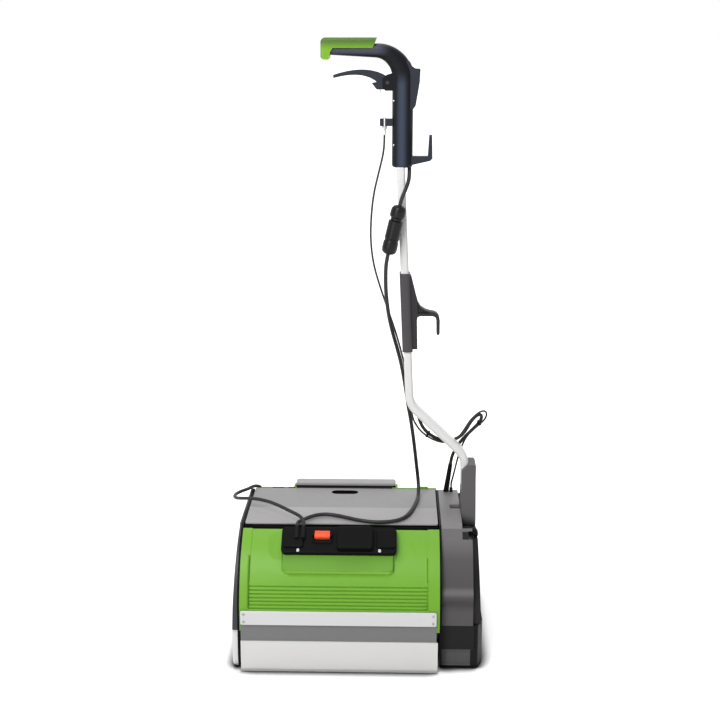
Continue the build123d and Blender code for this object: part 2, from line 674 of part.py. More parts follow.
pivot_boss = rod_x(PIVOT_LEFT, LID_RIGHT, 0, PIVOT_Z, PIVOT_FLANGE_R)
housing = housing - hollow + roof + step + cradle
housing -= block(LID_RIGHT, GUARD_RIGHT, -RIM_Y, RIM_Y, OUTBOARD_TOP_Z, TOP_Z + 10)
housing -= block(LID_RIGHT, GUARD_RIGHT, -HALF_DEPTH, HALF_DEPTH, RIM_TOP_Z, TOP_Z + 10)
bead_y = HALF_DEPTH - HOUSING_INSET - BEAD_SINK
bead = rod_x(RIGHT_PLATE_X, HOUSING_RIGHT, -bead_y, BEAD_Z, BEAD_R) - hollow
housing += front_and_rear(bead)
notch = block(NOTCH_X, HOUSING_RIGHT, -HALF_DEPTH, -RIM_Y, OUTBOARD_TOP_Z, NOTCH_TOP_Z)
housing -= front_and_rear(notch)
housing -= rod_x(LID_RIGHT, HOUSING_RIGHT, 0, PIVOT_Z, SCOOP_R)
housing += pivot_boss
housing -= block(RIGHT_PLATE_X, GUARD_RIGHT, -HALF_DEPTH, HALF_DEPTH, LID_Z, 2 * TOP_Z)
housing -= rod_x(RIGHT_PLATE_X, HOUSING_RIGHT, 0, PIVOT_Z, PIVOT_R)
save("drive_housing", housing)

lid_top = body_outline(HOUSING_LOW_Z, HOUSING_INSET) & (
    Pos(0, LID_Z + TOP_Z / 2) * Rectangle(2 * HALF_DEPTH, TOP_Z)
)
drive_lid = along_x(lid_top, RIGHT_PLATE_X, LID_RIGHT)
pivot_slot = PIVOT_R + 1
drive_lid -= block(PIVOT_LEFT + 3, LID_RIGHT, -pivot_slot, pivot_slot, LID_Z, TOP_Z)
drive_lid -= rod_x(PIVOT_LEFT, LID_RIGHT, 0, PIVOT_Z, PIVOT_R)
save("drive_lid", drive_lid)

buffers = []
for side in (-1, 1):
    near = side * (RIM_Y - BUFFER)
    far = side * RIM_Y
    buffers.append(block(LID_RIGHT + 2, SIDE_TOP_X + 2, min(near, far), max(near, far), OUTBOARD_TOP_Z, NOTCH_TOP_Z))
save("stop_buffers", Compound(children=buffers))

side_face = body_outline(HOUSING_LOW_Z, SIDE_INSET)
side_cover = sloped_end(side_face, HOUSING_RIGHT, SIDE_TOP_X, SIDE_LOW_X, HOUSING_LOW_Z, LEFT_WALL)
side_cover -= block(HOUSING_RIGHT, GUARD_RIGHT + 20, -HALF_DEPTH, HALF_DEPTH, OUTBOARD_TOP_Z, TOP_Z + 10)
side_cover -= rod_x(HOUSING_RIGHT, GUARD_RIGHT + 20, 0, PIVOT_Z, SCOOP_R)
save("drive_side_cover", side_cover)


def guard_shell(low_z, high_z, floor):
    """A ring of the gear guard, with a floor at its low edge where it has one."""
    depth = HALF_DEPTH - GUARD_INSET

    def plan(inset):
        """The guard seen from above."""
        corner = GUARD_RIGHT - inset - GUARD_CHAMFER
        return make_face(
            Polyline(
                (RIGHT_PLATE_X, -depth + inset), (corner, -depth + inset),
                (GUARD_RIGHT - inset, -depth + inset + 3 * GUARD_CHAMFER),
                (GUARD_RIGHT - inset, depth - inset - 3 * GUARD_CHAMFER), (corner, depth - inset),
                (RIGHT_PLATE_X, depth - inset), close=True,
            )
        )

    shell = Pos(0, 0, low_z) * extrude(plan(0), amount=high_z - low_z)
    start = low_z + (HOUSING_WALL if floor else 0)
    return shell - Pos(0, 0, start) * extrude(plan(HOUSING_WALL), amount=high_z - start)


guard_y = HALF_DEPTH - GUARD_INSET
upper_guard = guard_shell(GUARD_SPLIT_Z, HOUSING_LOW_Z, False)
lower_guard = guard_shell(GUARD_LOW_Z, GUARD_SPLIT_Z, True)
slit = block(
    GUARD_SLIT_X, GUARD_SLIT_X + GUARD_SLIT, -guard_y, -guard_y + GUARD_SLIT, GUARD_SPLIT_Z + GUARD_SLIT, HOUSING_LOW_Z
)
guard_panel = block(
    RIGHT_PLATE_X + HOUSING_WALL, GUARD_PANEL_RIGHT, -guard_y, -guard_y + GUARD_SLIT, GUARD_LOW_Z + HOUSING_WALL,
    GUARD_SPLIT_Z - GUARD_SLIT,
)
save("brush_guard_upper", upper_guard - front_and_rear(slit))
save("brush_guard_lower", lower_guard - front_and_rear(guard_panel))


# Brushes, conveyor and drive train


BRUSH_LEFT = BODY_LEFT + BRUSH_END_GAP
BRUSH_RIGHT = BODY_RIGHT - BRUSH_END_GAP


def brush_shaft(y, first_tooth):
    """A shaft with its drum core, its journals in both end plates and its gear."""
    shaft = rod_x(LEFT_PLATE_X, GEAR_LEFT + GEAR_WIDTH, y, BRUSH_Z, SHAFT_R)
    shaft += rod_x(BRUSH_LEFT, BRUSH_RIGHT, y, BRUSH_Z, SLEEVE_BORE)
    return shaft + spur_gear(y, BRUSH_Z, SHAFT_R - 1, first_tooth)


def brush_roller(y, twist):
    """A sleeve with its rows of bristles, which wind round it."""
    sleeve = rod_x(BRUSH_LEFT, BRUSH_RIGHT, y, BRUSH_Z, SLEEVE_R) - rod_x(
        BRUSH_LEFT, BRUSH_RIGHT, y, BRUSH_Z, SLEEVE_BORE
    )
    length = BRUSH_RIGHT - BRUSH_LEFT
    step = length / BRISTLES_PER_ROW
    root = SLEEVE_R - 2
    strand = Pos(0, 0, (root + BRUSH_R) / 2) * Box(BRISTLE_SIZE, BRISTLE_SIZE, BRUSH_R - root)
    strands = []
    for row in range(BRISTLE_ROWS):
        for place in range(BRISTLES_PER_ROW):
            x = BRUSH_LEFT + step * (place + 0.5)
            turn = 360 * row / BRISTLE_ROWS + twist * (place + 0.5) / BRISTLES_PER_ROW
            strands.append(Pos(x, y, BRUSH_Z) * Rot(turn, 0, 0) * strand)
    return sleeve + strands


TOOTH_STEP = 360 / GEAR_TEETH
save("brush_front_shaft", brush_shaft(-BRUSH_Y, 0))
save("brush_rear_shaft", brush_shaft(BRUSH_Y, TOOTH_STEP / 2))
save("brush_front_roller", brush_roller(-BRUSH_Y, BRISTLE_TWIST))
save("brush_rear_roller", brush_roller(BRUSH_Y, -BRISTLE_TWIST))

axle_bore = AXLE_R + RUNNING_GAP
pulley_right = PULLEY_LEFT + PULLEY_WIDTH
save("idler_gear_front", spur_gear(-IDLER_Y, BRUSH_Z, axle_bore, TOOTH_STEP / 2))
idler_hub = rod_x(GEAR_LEFT + GEAR_WIDTH, PULLEY_LEFT, IDLER_Y, BRUSH_Z, IDLER_PULLEY_R - 8)
idler_hub += rod_x(PULLEY_LEFT, pulley_right, IDLER_Y, BRUSH_Z, IDLER_PULLEY_R)
idler_hub -= rod_x(GEAR_LEFT, pulley_right, IDLER_Y, BRUSH_Z, axle_bore)
save("idler_gear_rear", spur_gear(IDLER_Y, BRUSH_Z, axle_bore, 0) + idler_hub)

axles = []
for side, end in ((-1, GEAR_LEFT + GEAR_WIDTH), (1, pulley_right)):
    axle = rod_x(BODY_RIGHT, end + SEAT_GAP, side * IDLER_Y, BRUSH_Z, AXLE_R)
    axle += rod_x(RIGHT_PLATE_X, GEAR_LEFT - SEAT_GAP, side * IDLER_Y, BRUSH_Z, AXLE_R + 4)
    axle += rod_x(end + SEAT_GAP, end + 3, side * IDLER_Y, BRUSH_Z, AXLE_R + 4)
    axles.append(axle)
save("idler_axles", Compound(children=axles))

conveyor = rod_x(BRUSH_LEFT, BRUSH_RIGHT, 0, CONVEYOR_Z, CONVEYOR_CORE_R)
conveyor += rod_x(LEFT_PLATE_X, pulley_right, 0, CONVEYOR_Z, CONVEYOR_SHAFT_R)
vane_height = CONVEYOR_R - CONVEYOR_CORE_R + 2
vane = Pos((BRUSH_LEFT + BRUSH_RIGHT) / 2, 0, CONVEYOR_R - vane_height / 2) * Box(
    BRUSH_RIGHT - BRUSH_LEFT, 3, vane_height
)
conveyor += [Pos(0, 0, CONVEYOR_Z) * Rot(360 * n / CONVEYOR_VANES, 0, 0) * vane for n in range(CONVEYOR_VANES)]
conveyor += rod_x(PULLEY_LEFT, pulley_right, 0, CONVEYOR_Z, CONVEYOR_PULLEY_R)
save("conveyor_drum", conveyor)

bearings = []
for x0, x1 in ((LEFT_PLATE_X, BODY_LEFT), (BODY_RIGHT, RIGHT_PLATE_X)):
    for y, z, outer_r, inner_r in (
        (-BRUSH_Y, BRUSH_Z, BEARING_R, SHAFT_R),
        (BRUSH_Y, BRUSH_Z, BEARING_R, SHAFT_R),
        (0, CONVEYOR_Z, CONVEYOR_BEARING_R, CONVEYOR_SHAFT_R),
    ):
        bearings.append(rod_x(x0, x1, y, z, outer_r) - rod_x(x0, x1, y, z, inner_r + RUNNING_GAP))
save("roller_bearings", Compound(children=bearings))

motor_left = BODY_RIGHT - MOTOR_LENGTH
shaft_gap = MOTOR_SHAFT_R + RUNNING_GAP
motor = rod_x(motor_left, BODY_RIGHT, MOTOR_Y, MOTOR_Z, MOTOR_R)
motor = chamfer(motor.edges().group_by(Axis.X)[0], 6)
motor -= rod_x(motor_left + 20, BODY_RIGHT, MOTOR_Y, MOTOR_Z, shaft_gap)
save("motor", motor)
motor_pulley = rod_x(motor_left + 20 + SEAT_GAP, pulley_right, MOTOR_Y, MOTOR_Z, MOTOR_SHAFT_R)
motor_pulley += rod_x(PULLEY_LEFT, pulley_right, MOTOR_Y, MOTOR_Z, MOTOR_PULLEY_R)
save("motor_pulley", motor_pulley)

pulleys = [
    (MOTOR_Y, MOTOR_Z, MOTOR_PULLEY_R),
    (0, CONVEYOR_Z, CONVEYOR_PULLEY_R),
    (IDLER_Y, BRUSH_Z, IDLER_PULLEY_R),
]
belt_face = belt_loop(pulleys, BELT_GAP + BELT_THICK) - belt_loop(pulleys, BELT_GAP)
save("drive_belt", along_x(belt_face, PULLEY_LEFT + 1, pulley_right - 1))


# Tank and tray


tank_left = BODY_LEFT + TANK_SIDE_GAP
tank_right = BODY_RIGHT - TANK_SIDE_GAP
tank = block(tank_left, tank_right, -TANK_HALF_Y, TANK_HALF_Y, TANK_LOW_Z, TANK_RIM_TOP_Z)
tank = fillet(tank.edges().group_by(Axis.Z)[0], 10)
tank += block(tank_left, tank_right, -TANK_RIM_HALF_Y, TANK_RIM_HALF_Y, TANK_RIM_Z + SEAT_GAP, TANK_RIM_TOP_Z)
tank -= block(
    tank_left + TANK_WALL, tank_right - TANK_WALL, -TANK_HALF_Y + TANK_WALL, TANK_HALF_Y - TANK_WALL,
    TANK_LOW_Z + TANK_WALL, TANK_RIM_TOP_Z,
)
save("solution_tank", tank)

lid_edge_z = TOP_Z - TANK_LID_SLOPE
under_y = TANK_LID_FRONT_Y + TANK_LID_UNDERCUT
lid_side = Polyline(
    (TOP_HALF_Y, TANK_RIM_TOP_Z), (TOP_HALF_Y, TOP_Z), (TANK_LID_CREASE_Y, TOP_Z), (TANK_LID_FRONT_Y, lid_edge_z),
    (TANK_LID_FRONT_Y, lid_edge_z - TANK_LID_LIP), (under_y, lid_edge_z - TANK_LID_LIP), (under_y, TANK_RIM_TOP_Z),
    close=True,
)
lid = along_x(make_face(lid_side), tank_left, tank_right)
lid = fillet(lid.edges().filter_by(Axis.Z), 4)
slot = Pos(FINGER_SLOT_X, FINGER_SLOT_Y, TANK_RIM_TOP_Z - 1) * extrude(
    SlotOverall(FINGER_SLOT_LENGTH, FINGER_SLOT_WIDTH), amount=20
)
save("tank_lid", lid - slot)

tray = block(BODY_LEFT, BODY_RIGHT, TRAY_FRONT_Y, TRAY_REAR_Y, TRAY_LOW_Z, TRAY_TOP_Z)
tray &= along_x(inset_outline(COVER_WALL + 2, NO_CUT), BODY_LEFT, BODY_RIGHT)
tray -= block(
    BODY_LEFT + TRAY_WALL, BODY_RIGHT - TRAY_WALL, TRAY_FRONT_Y + TRAY_WALL, TRAY_REAR_Y - TRAY_WALL,
    TRAY_LOW_Z + TRAY_WALL, TRAY_TOP_Z,
)
save("recovery_tray", tray)


# Handle: pivot pin, bracket halves, tube


head_x = BRACKET_RIGHT - PIN_HEAD
pin = rod_x(PIVOT_LEFT, head_x + SEAT_GAP, 0, PIVOT_Z, PIVOT_R - RUNNING_GAP)
pin += rod_x(head_x + SEAT_GAP, BRACKET_RIGHT - SEAT_GAP, 0, PIVOT_Z, PIN_HEAD_R)
save("pivot_pin", pin)

tube_points = [(x, 0, z) for x, z in (TUBE_TOP, TUBE_BEND, TUBE_KNEE, TUBE_FOOT)]
tube_path = FilletPolyline(*tube_points, radius=[TUBE_BEND_R, TUBE_KNEE_R])


def tube_solid(grow):
    """The flat-sided tube, grown on all sides by a clearance."""
    start = Plane(tube_path @ 0, x_dir=(0, 1, 0), z_dir=tube_path % 0)
    section = RectangleRounded(TUBE_DEPTH + 2 * grow, TUBE_WIDTH + 2 * grow, TUBE_CORNER + grow)
    return sweep(start * section, path=tube_path)


handle_tube = tube_solid(0)
save("handle_tube", handle_tube)

bracket_face = Pos(0, PIVOT_Z) * Circle(BRACKET_R)
waist = BRACKET_WAIST_Z - PIVOT_Z
touch = math.atan2(waist, BRACKET_HALF_Y) - math.acos(BRACKET_R / math.hypot(waist, BRACKET_HALF_Y))
touch_y = BRACKET_R * math.cos(touch)
touch_z = PIVOT_Z + BRACKET_R * math.sin(touch)
bracket_face += make_face(
    Polyline(
        (-touch_y, touch_z), (-BRACKET_HALF_Y, BRACKET_WAIST_Z), (-BRACKET_HALF_Y, BRACKET_TOP_Z),
        (BRACKET_HALF_Y, BRACKET_TOP_Z), (BRACKET_HALF_Y, BRACKET_WAIST_Z), (touch_y, touch_z), close=True,
    )
)
bracket = along_x(bracket_face, BRACKET_LEFT, BRACKET_RIGHT)
bracket = chamfer(bracket.edges().filter_by(Axis.Y).group_by(Axis.Z)[-1].sort_by(Axis.X)[0], BRACKET_CHAMFER)
bracket = fillet(bracket.edges().group_by(Axis.X)[-1], 4)
bracket -= tube_solid(0)
bracket -= rod_x(BRACKET_LEFT, BRACKET_RIGHT, 0, PIVOT_Z, PIVOT_R)
bracket -= rod_x(head_x, BRACKET_RIGHT, 0, PIVOT_Z, PIN_HEAD_R + SEAT_GAP)
far_block = block(0, 2 * GUARD_RIGHT, 0, HALF_DEPTH, 0, 2 * BRACKET_TOP_Z)
save("bracket_front_half", bracket - far_block)
save("bracket_rear_half", bracket & far_block)


# Handle: cable hooks


def tube_axis_x(z):
    """The middle of the upper tube at a height."""
    share = (z - TUBE_BEND[1]) / (TUBE_TOP[1] - TUBE_BEND[1])
    return TUBE_BEND[0] + share * (TUBE_TOP[0] - TUBE_BEND[0])


sleeve_region = block(0, 2 * STEM_X, -HALF_DEPTH, HALF_DEPTH, SLEEVE_LOW_Z, SLEEVE_TOP_Z)
mid_sleeve = (tube_solid(SLEEVE_WALL) & sleeve_region) - handle_tube
save("mid_sleeve", mid_sleeve)


def sleeve_face(z):
    """The sleeve's right face at a height."""
    return tube_axis_x(z) + TUBE_WIDTH / 2 + SLEEVE_WALL


HOOK_Z = (SLEEVE_LOW_Z + SLEEVE_TOP_Z) / 2
HOOK_STRIP = HOOK_REACH / 6
hook_origin = (sleeve_face(HOOK_Z), HOOK_Z)
hook_shape = [(17, 57), (23, 36), (33, 20), (48, 10), (66, 4), (80, 2), (90, -3), (97, -13), (100, -28), (100, -73)]
hook_shape += [(97, -79), (92, -80), (89, -75), (88, -27), (84, -16), (76, -12), (30, -12), (22, -16), (20, -26)]
web_shape = [(20, 40), (26, 24), (38, 11), (58, 2), (66, -3), (22, -3)]
strip_low = SLEEVE_LOW_Z + HOOK_STRIP / 2
strip_top = SLEEVE_TOP_Z - HOOK_STRIP / 2
hook_points = [(tube_axis_x(strip_top), strip_top), (sleeve_face(strip_top) + HOOK_STRIP / 4, strip_top)]
hook_points += placed(hook_origin, HOOK_REACH, hook_shape)
hook_points += [(sleeve_face(strip_low) + HOOK_STRIP, strip_low), (tube_axis_x(strip_low), strip_low)]
mid_hook = across_y(make_face(Polyline(*hook_points, close=True)), HOOK_HALF_Y) - tube_solid(SLEEVE_WALL)
mid_hook = mid_hook.solids().sort_by(SortBy.VOLUME)[-1]
web = across_y(make_face(Polyline(*placed(hook_origin, HOOK_REACH, web_shape), close=True)), 2 * HOOK_HALF_Y)
web -= block(0, 4 * STEM_X, -HOOK_HALF_Y + HOOK_WEB, HOOK_HALF_Y - HOOK_WEB, 0, CAP_TOP_Z)
mid_hook -= web
save("mid_hook", mid_hook)

UPPER_HOOK_X = STEM_X + STEM_WIDTH / 2
upper_hook_shape = [(-17, 57), (77, 57), (83, 163), (97, 163), (100, 46), (89, 34), (0, 14), (-17, 14)]
upper_hook_points = placed((UPPER_HOOK_X, STEM_LOW_Z), UPPER_HOOK_REACH, upper_hook_shape)
upper_hook = across_y(make_face(Polyline(*upper_hook_points, close=True)), HOOK_HALF_Y)


# Handle: stem, grip, inlet box


def arm_section(centre_x, centre_z, turn, height, width):
    """A cross-section of the grip, turned from the upright stem towards the front arm."""
    facing = (-math.sin(math.radians(turn)), 0, math.cos(math.radians(turn)))
    plane = Plane((centre_x, 0, centre_z), x_dir=(0, 1, 0), z_dir=facing)
    return plane * RectangleRounded(width, height, 0.46 * min(height, width))


elbow_x = STEM_X - ELBOW_R
sections = []
elbow_shape = ((0, 1.0, 1.0), (30, 0.946, 1.0), (60, 0.784, 0.97), (90, 0.649, 0.912))
for turn, height_share, width_share in elbow_shape:
    x = elbow_x + ELBOW_R * math.cos(math.radians(turn))
    z = STEM_STRAIGHT_Z + ELBOW_R * math.sin(math.radians(turn))
    sections.append(arm_section(x, z, turn, height_share * STEM_WIDTH, width_share * STEM_DEPTH))
arm_end = arm_section(ARM_END_X, CAP_LOW_Z - ARM_DROP, 90, 0.378 * STEM_WIDTH, 0.794 * STEM_DEPTH)
grip_arm = loft(sections) + loft([sections[-1], arm_end], ruled=True)
stem_face = RectangleRounded(STEM_WIDTH, STEM_DEPTH, 0.46 * STEM_DEPTH)
stem_low = Pos(STEM_X, 0, STEM_LOW_Z) * extrude(stem_face, amount=STEM_STRAIGHT_Z - STEM_LOW_Z)
stem_low = fillet(stem_low.faces().sort_by(Axis.Z)[0].edges(), 5)
handle_stem = stem_low + grip_arm
LEVER_ORIGIN = (LEVER_PIN_X, LEVER_PIN_Z)
cheek_shape = [(15.4, 18.8), (-1.6, 13.6), (-8.9, 6.3), (-8.9, -8.4), (-3.7, -14.7), (15.4, -14.7)]
cheek_points = placed(LEVER_ORIGIN, LEVER_LENGTH, cheek_shape)
cheeks = across_y(make_face(Polyline(*cheek_points, close=True)), LEVER_HALF_Y + CLEVIS_WALL)
cheek_gap = LEVER_HALF_Y + SEAT_GAP
cheeks -= block(0, STEM_X - STEM_WIDTH / 2 + 1, -cheek_gap, cheek_gap, STEM_LOW_Z, CAP_TOP_Z)
handle_stem += cheeks - grip_arm
handle_stem -= rod_y(LEVER_PIN_X, LEVER_PIN_Z, -HALF_DEPTH, HALF_DEPTH, LEVER_PIN_R)
handle_stem -= handle_tube
save("upper_hook", upper_hook - handle_stem - stem_low)

inlet_shape = [(0, 42), (17, 42), (23, 30), (32, 24.5), (43, 24), (44, 21), (42.6, -7.1), (37.6, -38.6), (32.6, -67.1)]
inlet_shape += [(26.1, -75.7), (0, -75.7)]
inlet_points = placed((STEM_X, STEM_STRAIGHT_Z), INLET_HEIGHT, inlet_shape)
inlet_box = across_y(make_face(Polyline(*inlet_points, close=True)), INLET_HALF_Y)
inlet_box = (inlet_box - stem_low - grip_arm).solids().sort_by(Axis.X)[-1]
save("inlet_box", inlet_box)

nose_shape = [(122, 0), (97, -30), (92, -60), (88, -92), (72, -109), (30, -109), (8, -97), (0, -82)]
cap_points = [(CAP_LEFT, CAP_TOP_Z), (CAP_RIGHT, CAP_TOP_Z), (CAP_RIGHT - 0.4 * CAP_THICK, CAP_LOW_Z)]
cap_points += placed((CAP_LEFT, CAP_LOW_Z), CAP_THICK, nose_shape)
cap_face = make_face(Polyline(*cap_points, close=True))
cap_corner = cap_face.vertices().group_by(Axis.Y)[-1].sort_by(Axis.X)[0]
cap_face = fillet(cap_corner, CAP_THICK / 2)
cap = across_y(cap_face, CAP_HALF_Y)
cap = fillet(cap.edges().filter_by(Axis.X).group_by(Axis.Z)[-1], CAP_THICK / 3)
cap = (cap - grip_arm).solids().sort_by(SortBy.VOLUME)[-1]
save("grip_cap", cap)


# Hand lever with its pin, adjuster and inner wire


top_shape = [(-100, 13.6), (-55, 23), (-22.5, 20.4), (-5.8, 14.1)]
low_shape = [(-99, 7.9), (-57.1, 13.6), (-33, 8.9), (-19.4, 1)]
tail_shape = [(-19.4, 1), (-28.8, -1), (-19.4, -12.6), (0.5, -12.6), (5.8, -5.2), (5.8, 6.3), (-5.8, 14.1)]
top_points = placed(LEVER_ORIGIN, LEVER_LENGTH, top_shape)
low_points = placed(LEVER_ORIGIN, LEVER_LENGTH, low_shape)
lever_edges = [Spline(*top_points), Spline(*low_points), Line(top_points[0], low_points[0])]
lever_edges.append(Polyline(*placed(LEVER_ORIGIN, LEVER_LENGTH, tail_shape)))
lever = across_y(make_face(lever_edges), LEVER_HALF_Y)
lever = fillet(lever.edges().filter_by(Axis.Y).sort_by(Axis.X)[:2], LEVER_LENGTH / 45)
lever -= rod_y(LEVER_PIN_X, LEVER_PIN_Z, -HALF_DEPTH, HALF_DEPTH, LEVER_PIN_R + RUNNING_GAP)
save("lever", lever)
save("lever_pin", rod_y(LEVER_PIN_X, LEVER_PIN_Z, -LEVER_HALF_Y - CLEVIS_WALL, LEVER_HALF_Y + CLEVIS_WALL, LEVER_PIN_R))

stem_left = STEM_X - STEM_WIDTH / 2
adjuster_left = ADJUSTER_X - 0.63 * ADJUSTER_HEIGHT
adjuster_bracket = block(
    adjuster_left, stem_left + 8, -ADJUSTER_HALF_Y, ADJUSTER_HALF_Y, ADJUSTER_LOW_Z, ADJUSTER_TOP_Z
)
adjuster_bracket = fillet(adjuster_bracket.edges().filter_by(Axis.Y), 1.5) - stem_low
adjuster_bracket -= rod_z(ADJUSTER_X, 0, ADJUSTER_LOW_Z, ADJUSTER_TOP_Z, ADJUSTER_R)
save("adjuster_bracket", adjuster_bracket)
barrel = rod_z(ADJUSTER_X, 0, FERRULE_Z, ADJUSTER_TOP_Z + 2, ADJUSTER_R)
barrel += rod_z(ADJUSTER_X, 0, ADJUSTER_LOW_Z - 5, ADJUSTER_LOW_Z, ADJUSTER_R + 1.4)
barrel -= rod_z(ADJUSTER_X, 0, FERRULE_Z + 6, ADJUSTER_TOP_Z + 2, WIRE_D / 2 + 0.6)
save("barrel_adjuster", barrel)


# Cables: straight runs joined by arcs as large as the runs allow


def cable(name, points, diameter):
    """A round cable along a route."""
    vectors = [Vector(*p) for p in points]
    runs = [(b - a).length for a, b in zip(vectors, vectors[1:])]
    radii = []
    for n in range(1, len(points) - 1):
        turn = (vectors[n] - vectors[n - 1]).get_angle(vectors[n + 1] - vectors[n])
        radii.append(0.45 * min(runs[n - 1], runs[n]) / math.tan(math.radians(turn / 2)))
    path = FilletPolyline(*points, radius=radii)
    start = Plane(path @ 0, z_dir=path % 0)
    solid = sweep(start * Circle(diameter / 2), path=path)
    full = math.pi * diameter ** 2 / 4 * path.length
    print(f"{name}: length {path.length:.0f}, least radius {min(radii):.0f}, volume {solid.volume / full:.4f}")
    return solid


def hung(points):
    """Points above the cable loop, spread over the height between the loop and the stem."""
    spread = (STEM_LOW_Z - LOOP_Z) / HANG_HEIGHT
    return [(x, y, LOOP_Z + (z - LOOP_Z) * spread) for x, y, z in points]


MAINS_UPPER = hung([
    (91.5, 0, 884), (91.8, -3, 871), (90.5, -13, 857), (85, -24, 843), (78.05, -30, 827.9), (75, -30, 815),
])
COUPLER_TOP = MAINS_UPPER[-1]
MAINS_LOWER = hung([
    (54.3, -30, 727.5), (51.077, -30, 713.876), (50, -28, 688), (51, -22, 652), (56, -10, 612), (63, 5, 578),
    (71, 20, 548), (80, 29, 512), (87, 32, 472), (93, 30, 432),
])
COUPLER_LOW = MAINS_LOWER[0]
MAINS_LOWER += [
    (99.5, 33, 398), (104, 41, 364), (107.5, 51, 334),
    (110.5, 60, 306), (113, 66.5, 284), (114.6, 66, 268), (115, 57.5, 255), (114.2, 44, 247.6), (111.5, 24, 247.3),
    (107.4, -2, 247.3), (100.5, -36, 247.1), (89.5, -70, 246.7), (72, -90, 246.4), (50, -97, 246.3),
    (27, -96.5, 246.3), (4, -89, 246.5), (-18, -76, 246.8), (-37, -65.5, 247.1), (-56, -60.5, 247.7),
    (-75, -66.5, 249.3), (-89, -82, 251.5), (-99, -98, 253), (-105, -109.5, 252.6), (-106.5, -115.9, 250.5),
    (-106.5, -122, 245.75),
]
SWITCH_LEAD = [
    (-95.5, -122, 245.75), (-95.5, -115.7, 250.7), (-95.9, -109, 257.5), (-99.5, -101.5, 262.5), (-108, -91, 265),
    (-122, -77, 265.2), (-140, -61, 263.7), (-160, -44.5, 261.7), (-181, -30, 259.5), (-203, -16.5, 257.5),
    (-222, -3, 255), (-234, 12, 252.5), (-238.5, 29, 250.7), (-236, 47, 249.7), (-227.5, 63, 249.3),
    (-218, 77, 248.6), (-212.8, 89, 248), (-207.8, 100, 247.2), (-202.8, 107.5, 245), (-198.4, 113.4, 242),
    (-196, 117, 238), (-196, 117, 233),
]
CONTROL_UPPER = [(ADJUSTER_X, 0, FERRULE_Z), (ADJUSTER_X, 0, FERRULE_Z - 11)]
CONTROL_UPPER += hung([
    (45.3, -1, 905), (37, -4, 871), (28, -6, 834), (23.5, -7, 792), (22.5, -6, 750), (27.5, -2, 706), (40, 6, 662),
    (54, 15, 620), (69, 18.5, 576), (82, 18.8, 530), (90, 18.4, 490), (95, 18.6, 458),
])
CONTROL_UPPER.append((99, 20, 428))
CONTROL_LOWER = [
    (99, 20, 428), (101.2, 20.77, 411.5), (108, 20.3, 397.5), (117.5, 19.3, 385), (129.5, 18.8, 375.5), (143, 18.6, 368),
    (158, 18.8, 363.5), (173, 19.6, 365), (184, 20, 370.5), (192.5, 20, 379), (200, 20, 391), (209.2, 19, 406.9),
    (221.1, 19, 419.6), (231.5, 22, 425.1), (239.3, 27, 422.8), (241.5, 31.5, 414), (236.5, 34.5, 403),
    (224.5, 36, 391.5), (210.5, 37, 378.5), (201, 39, 364), (195, 43, 346.7), (189.5, 51, 326.6), (185, 61.5, 300),
    (181.3, 74, 277), (179.2, 83.5, 264.5), (178.8, 87, 258), (178.8, 87, FERRULE_TOP_Z),
]
DRIVE_LEAD = [
    (110, 15, 430.5), (110, 20.5, 430.5), (111.2, 25.5, 425.5), (114, 27, 413), (119.5, 26.5, 398.5),
    (127.5, 26, 386.5), (138, 25.7, 377.5), (151, 25.6, 370), (166, 26, 366), (181, 27, 367.5), (193.5, 27.8, 374.5),
    (202.6, 27.8, 386), (210.6, 26.3, 402), (219.7, 26, 413.5), (228, 28.5, 417), (232.3, 33.5, 411.5),
    (229.8, 38.5, 400), (219, 42, 386.5), (206.5, 44.5, 373), (196, 46.5, 361), (187.3, 50, 347.5),
    (181.3, 56, 333.5), (177.5, 63.6, 319.3), LEAD_SLEEVE_TOP,
]
INNER_WIRE = [
    (ADJUSTER_X, 0, FERRULE_Z + 8), (ADJUSTER_X, 0, ADJUSTER_TOP_Z + 2.5), (ADJUSTER_X - 3.3, 0, ADJUSTER_TOP_Z + 25.5),
    (LEVER_PIN_X - 12.5, 0, LEVER_PIN_Z - 12.4),
]

mains_cable_upper = cable("mains_cable_upper", MAINS_UPPER, MAINS_D)
save("mains_cable_upper", mains_cable_upper)
save("handle_stem", handle_stem - mains_cable_upper)
save("mains_cable_lower", cable("mains_cable_lower", MAINS_LOWER, MAINS_D))
switch_lead = cable("switch_lead", SWITCH_LEAD, LEAD_D)
save("switch_lead", switch_lead)
save("control_cable", cable("control_cable", CONTROL_UPPER, CONTROL_D))
control_lower = cable("control_leads, control cable", CONTROL_LOWER, CONTROL_D)
drive_lead = cable("control_leads, drive lead", DRIVE_LEAD, LEAD_D)
save("control_leads", Compound(children=[control_lower, drive_lead]))
save("inner_wire", cable("inner_wire", INNER_WIRE, WIRE_D))

coupler_axis = Vector(*COUPLER_LOW) - Vector(*COUPLER_TOP)
coupler_shape = [(43, 0), (76, 15), (94, 44), (100, 80), (100, 138), (91, 159), (76, 168), (76, 196), (96, 208)]
coupler_shape += [(96, 440), (87, 452), (87, 470), (97, 484), (99, 572), (90, 616), (62, 640)]
coupler_steps = placed((0, 0), COUPLER_R, coupler_shape)
coupler_profile = [(0, 0)] + coupler_steps + [(MAINS_D / 2, coupler_axis.length), (0, coupler_axis.length)]
coupler_plane = Plane(Vector(*COUPLER_TOP), x_dir=(0, 1, 0), z_dir=coupler_axis.normalized())
coupler = revolve(Plane.XZ * make_face(Polyline(*coupler_profile, close=True)), axis=Axis.Z)
save("inline_coupler", coupler_plane.location * coupler)

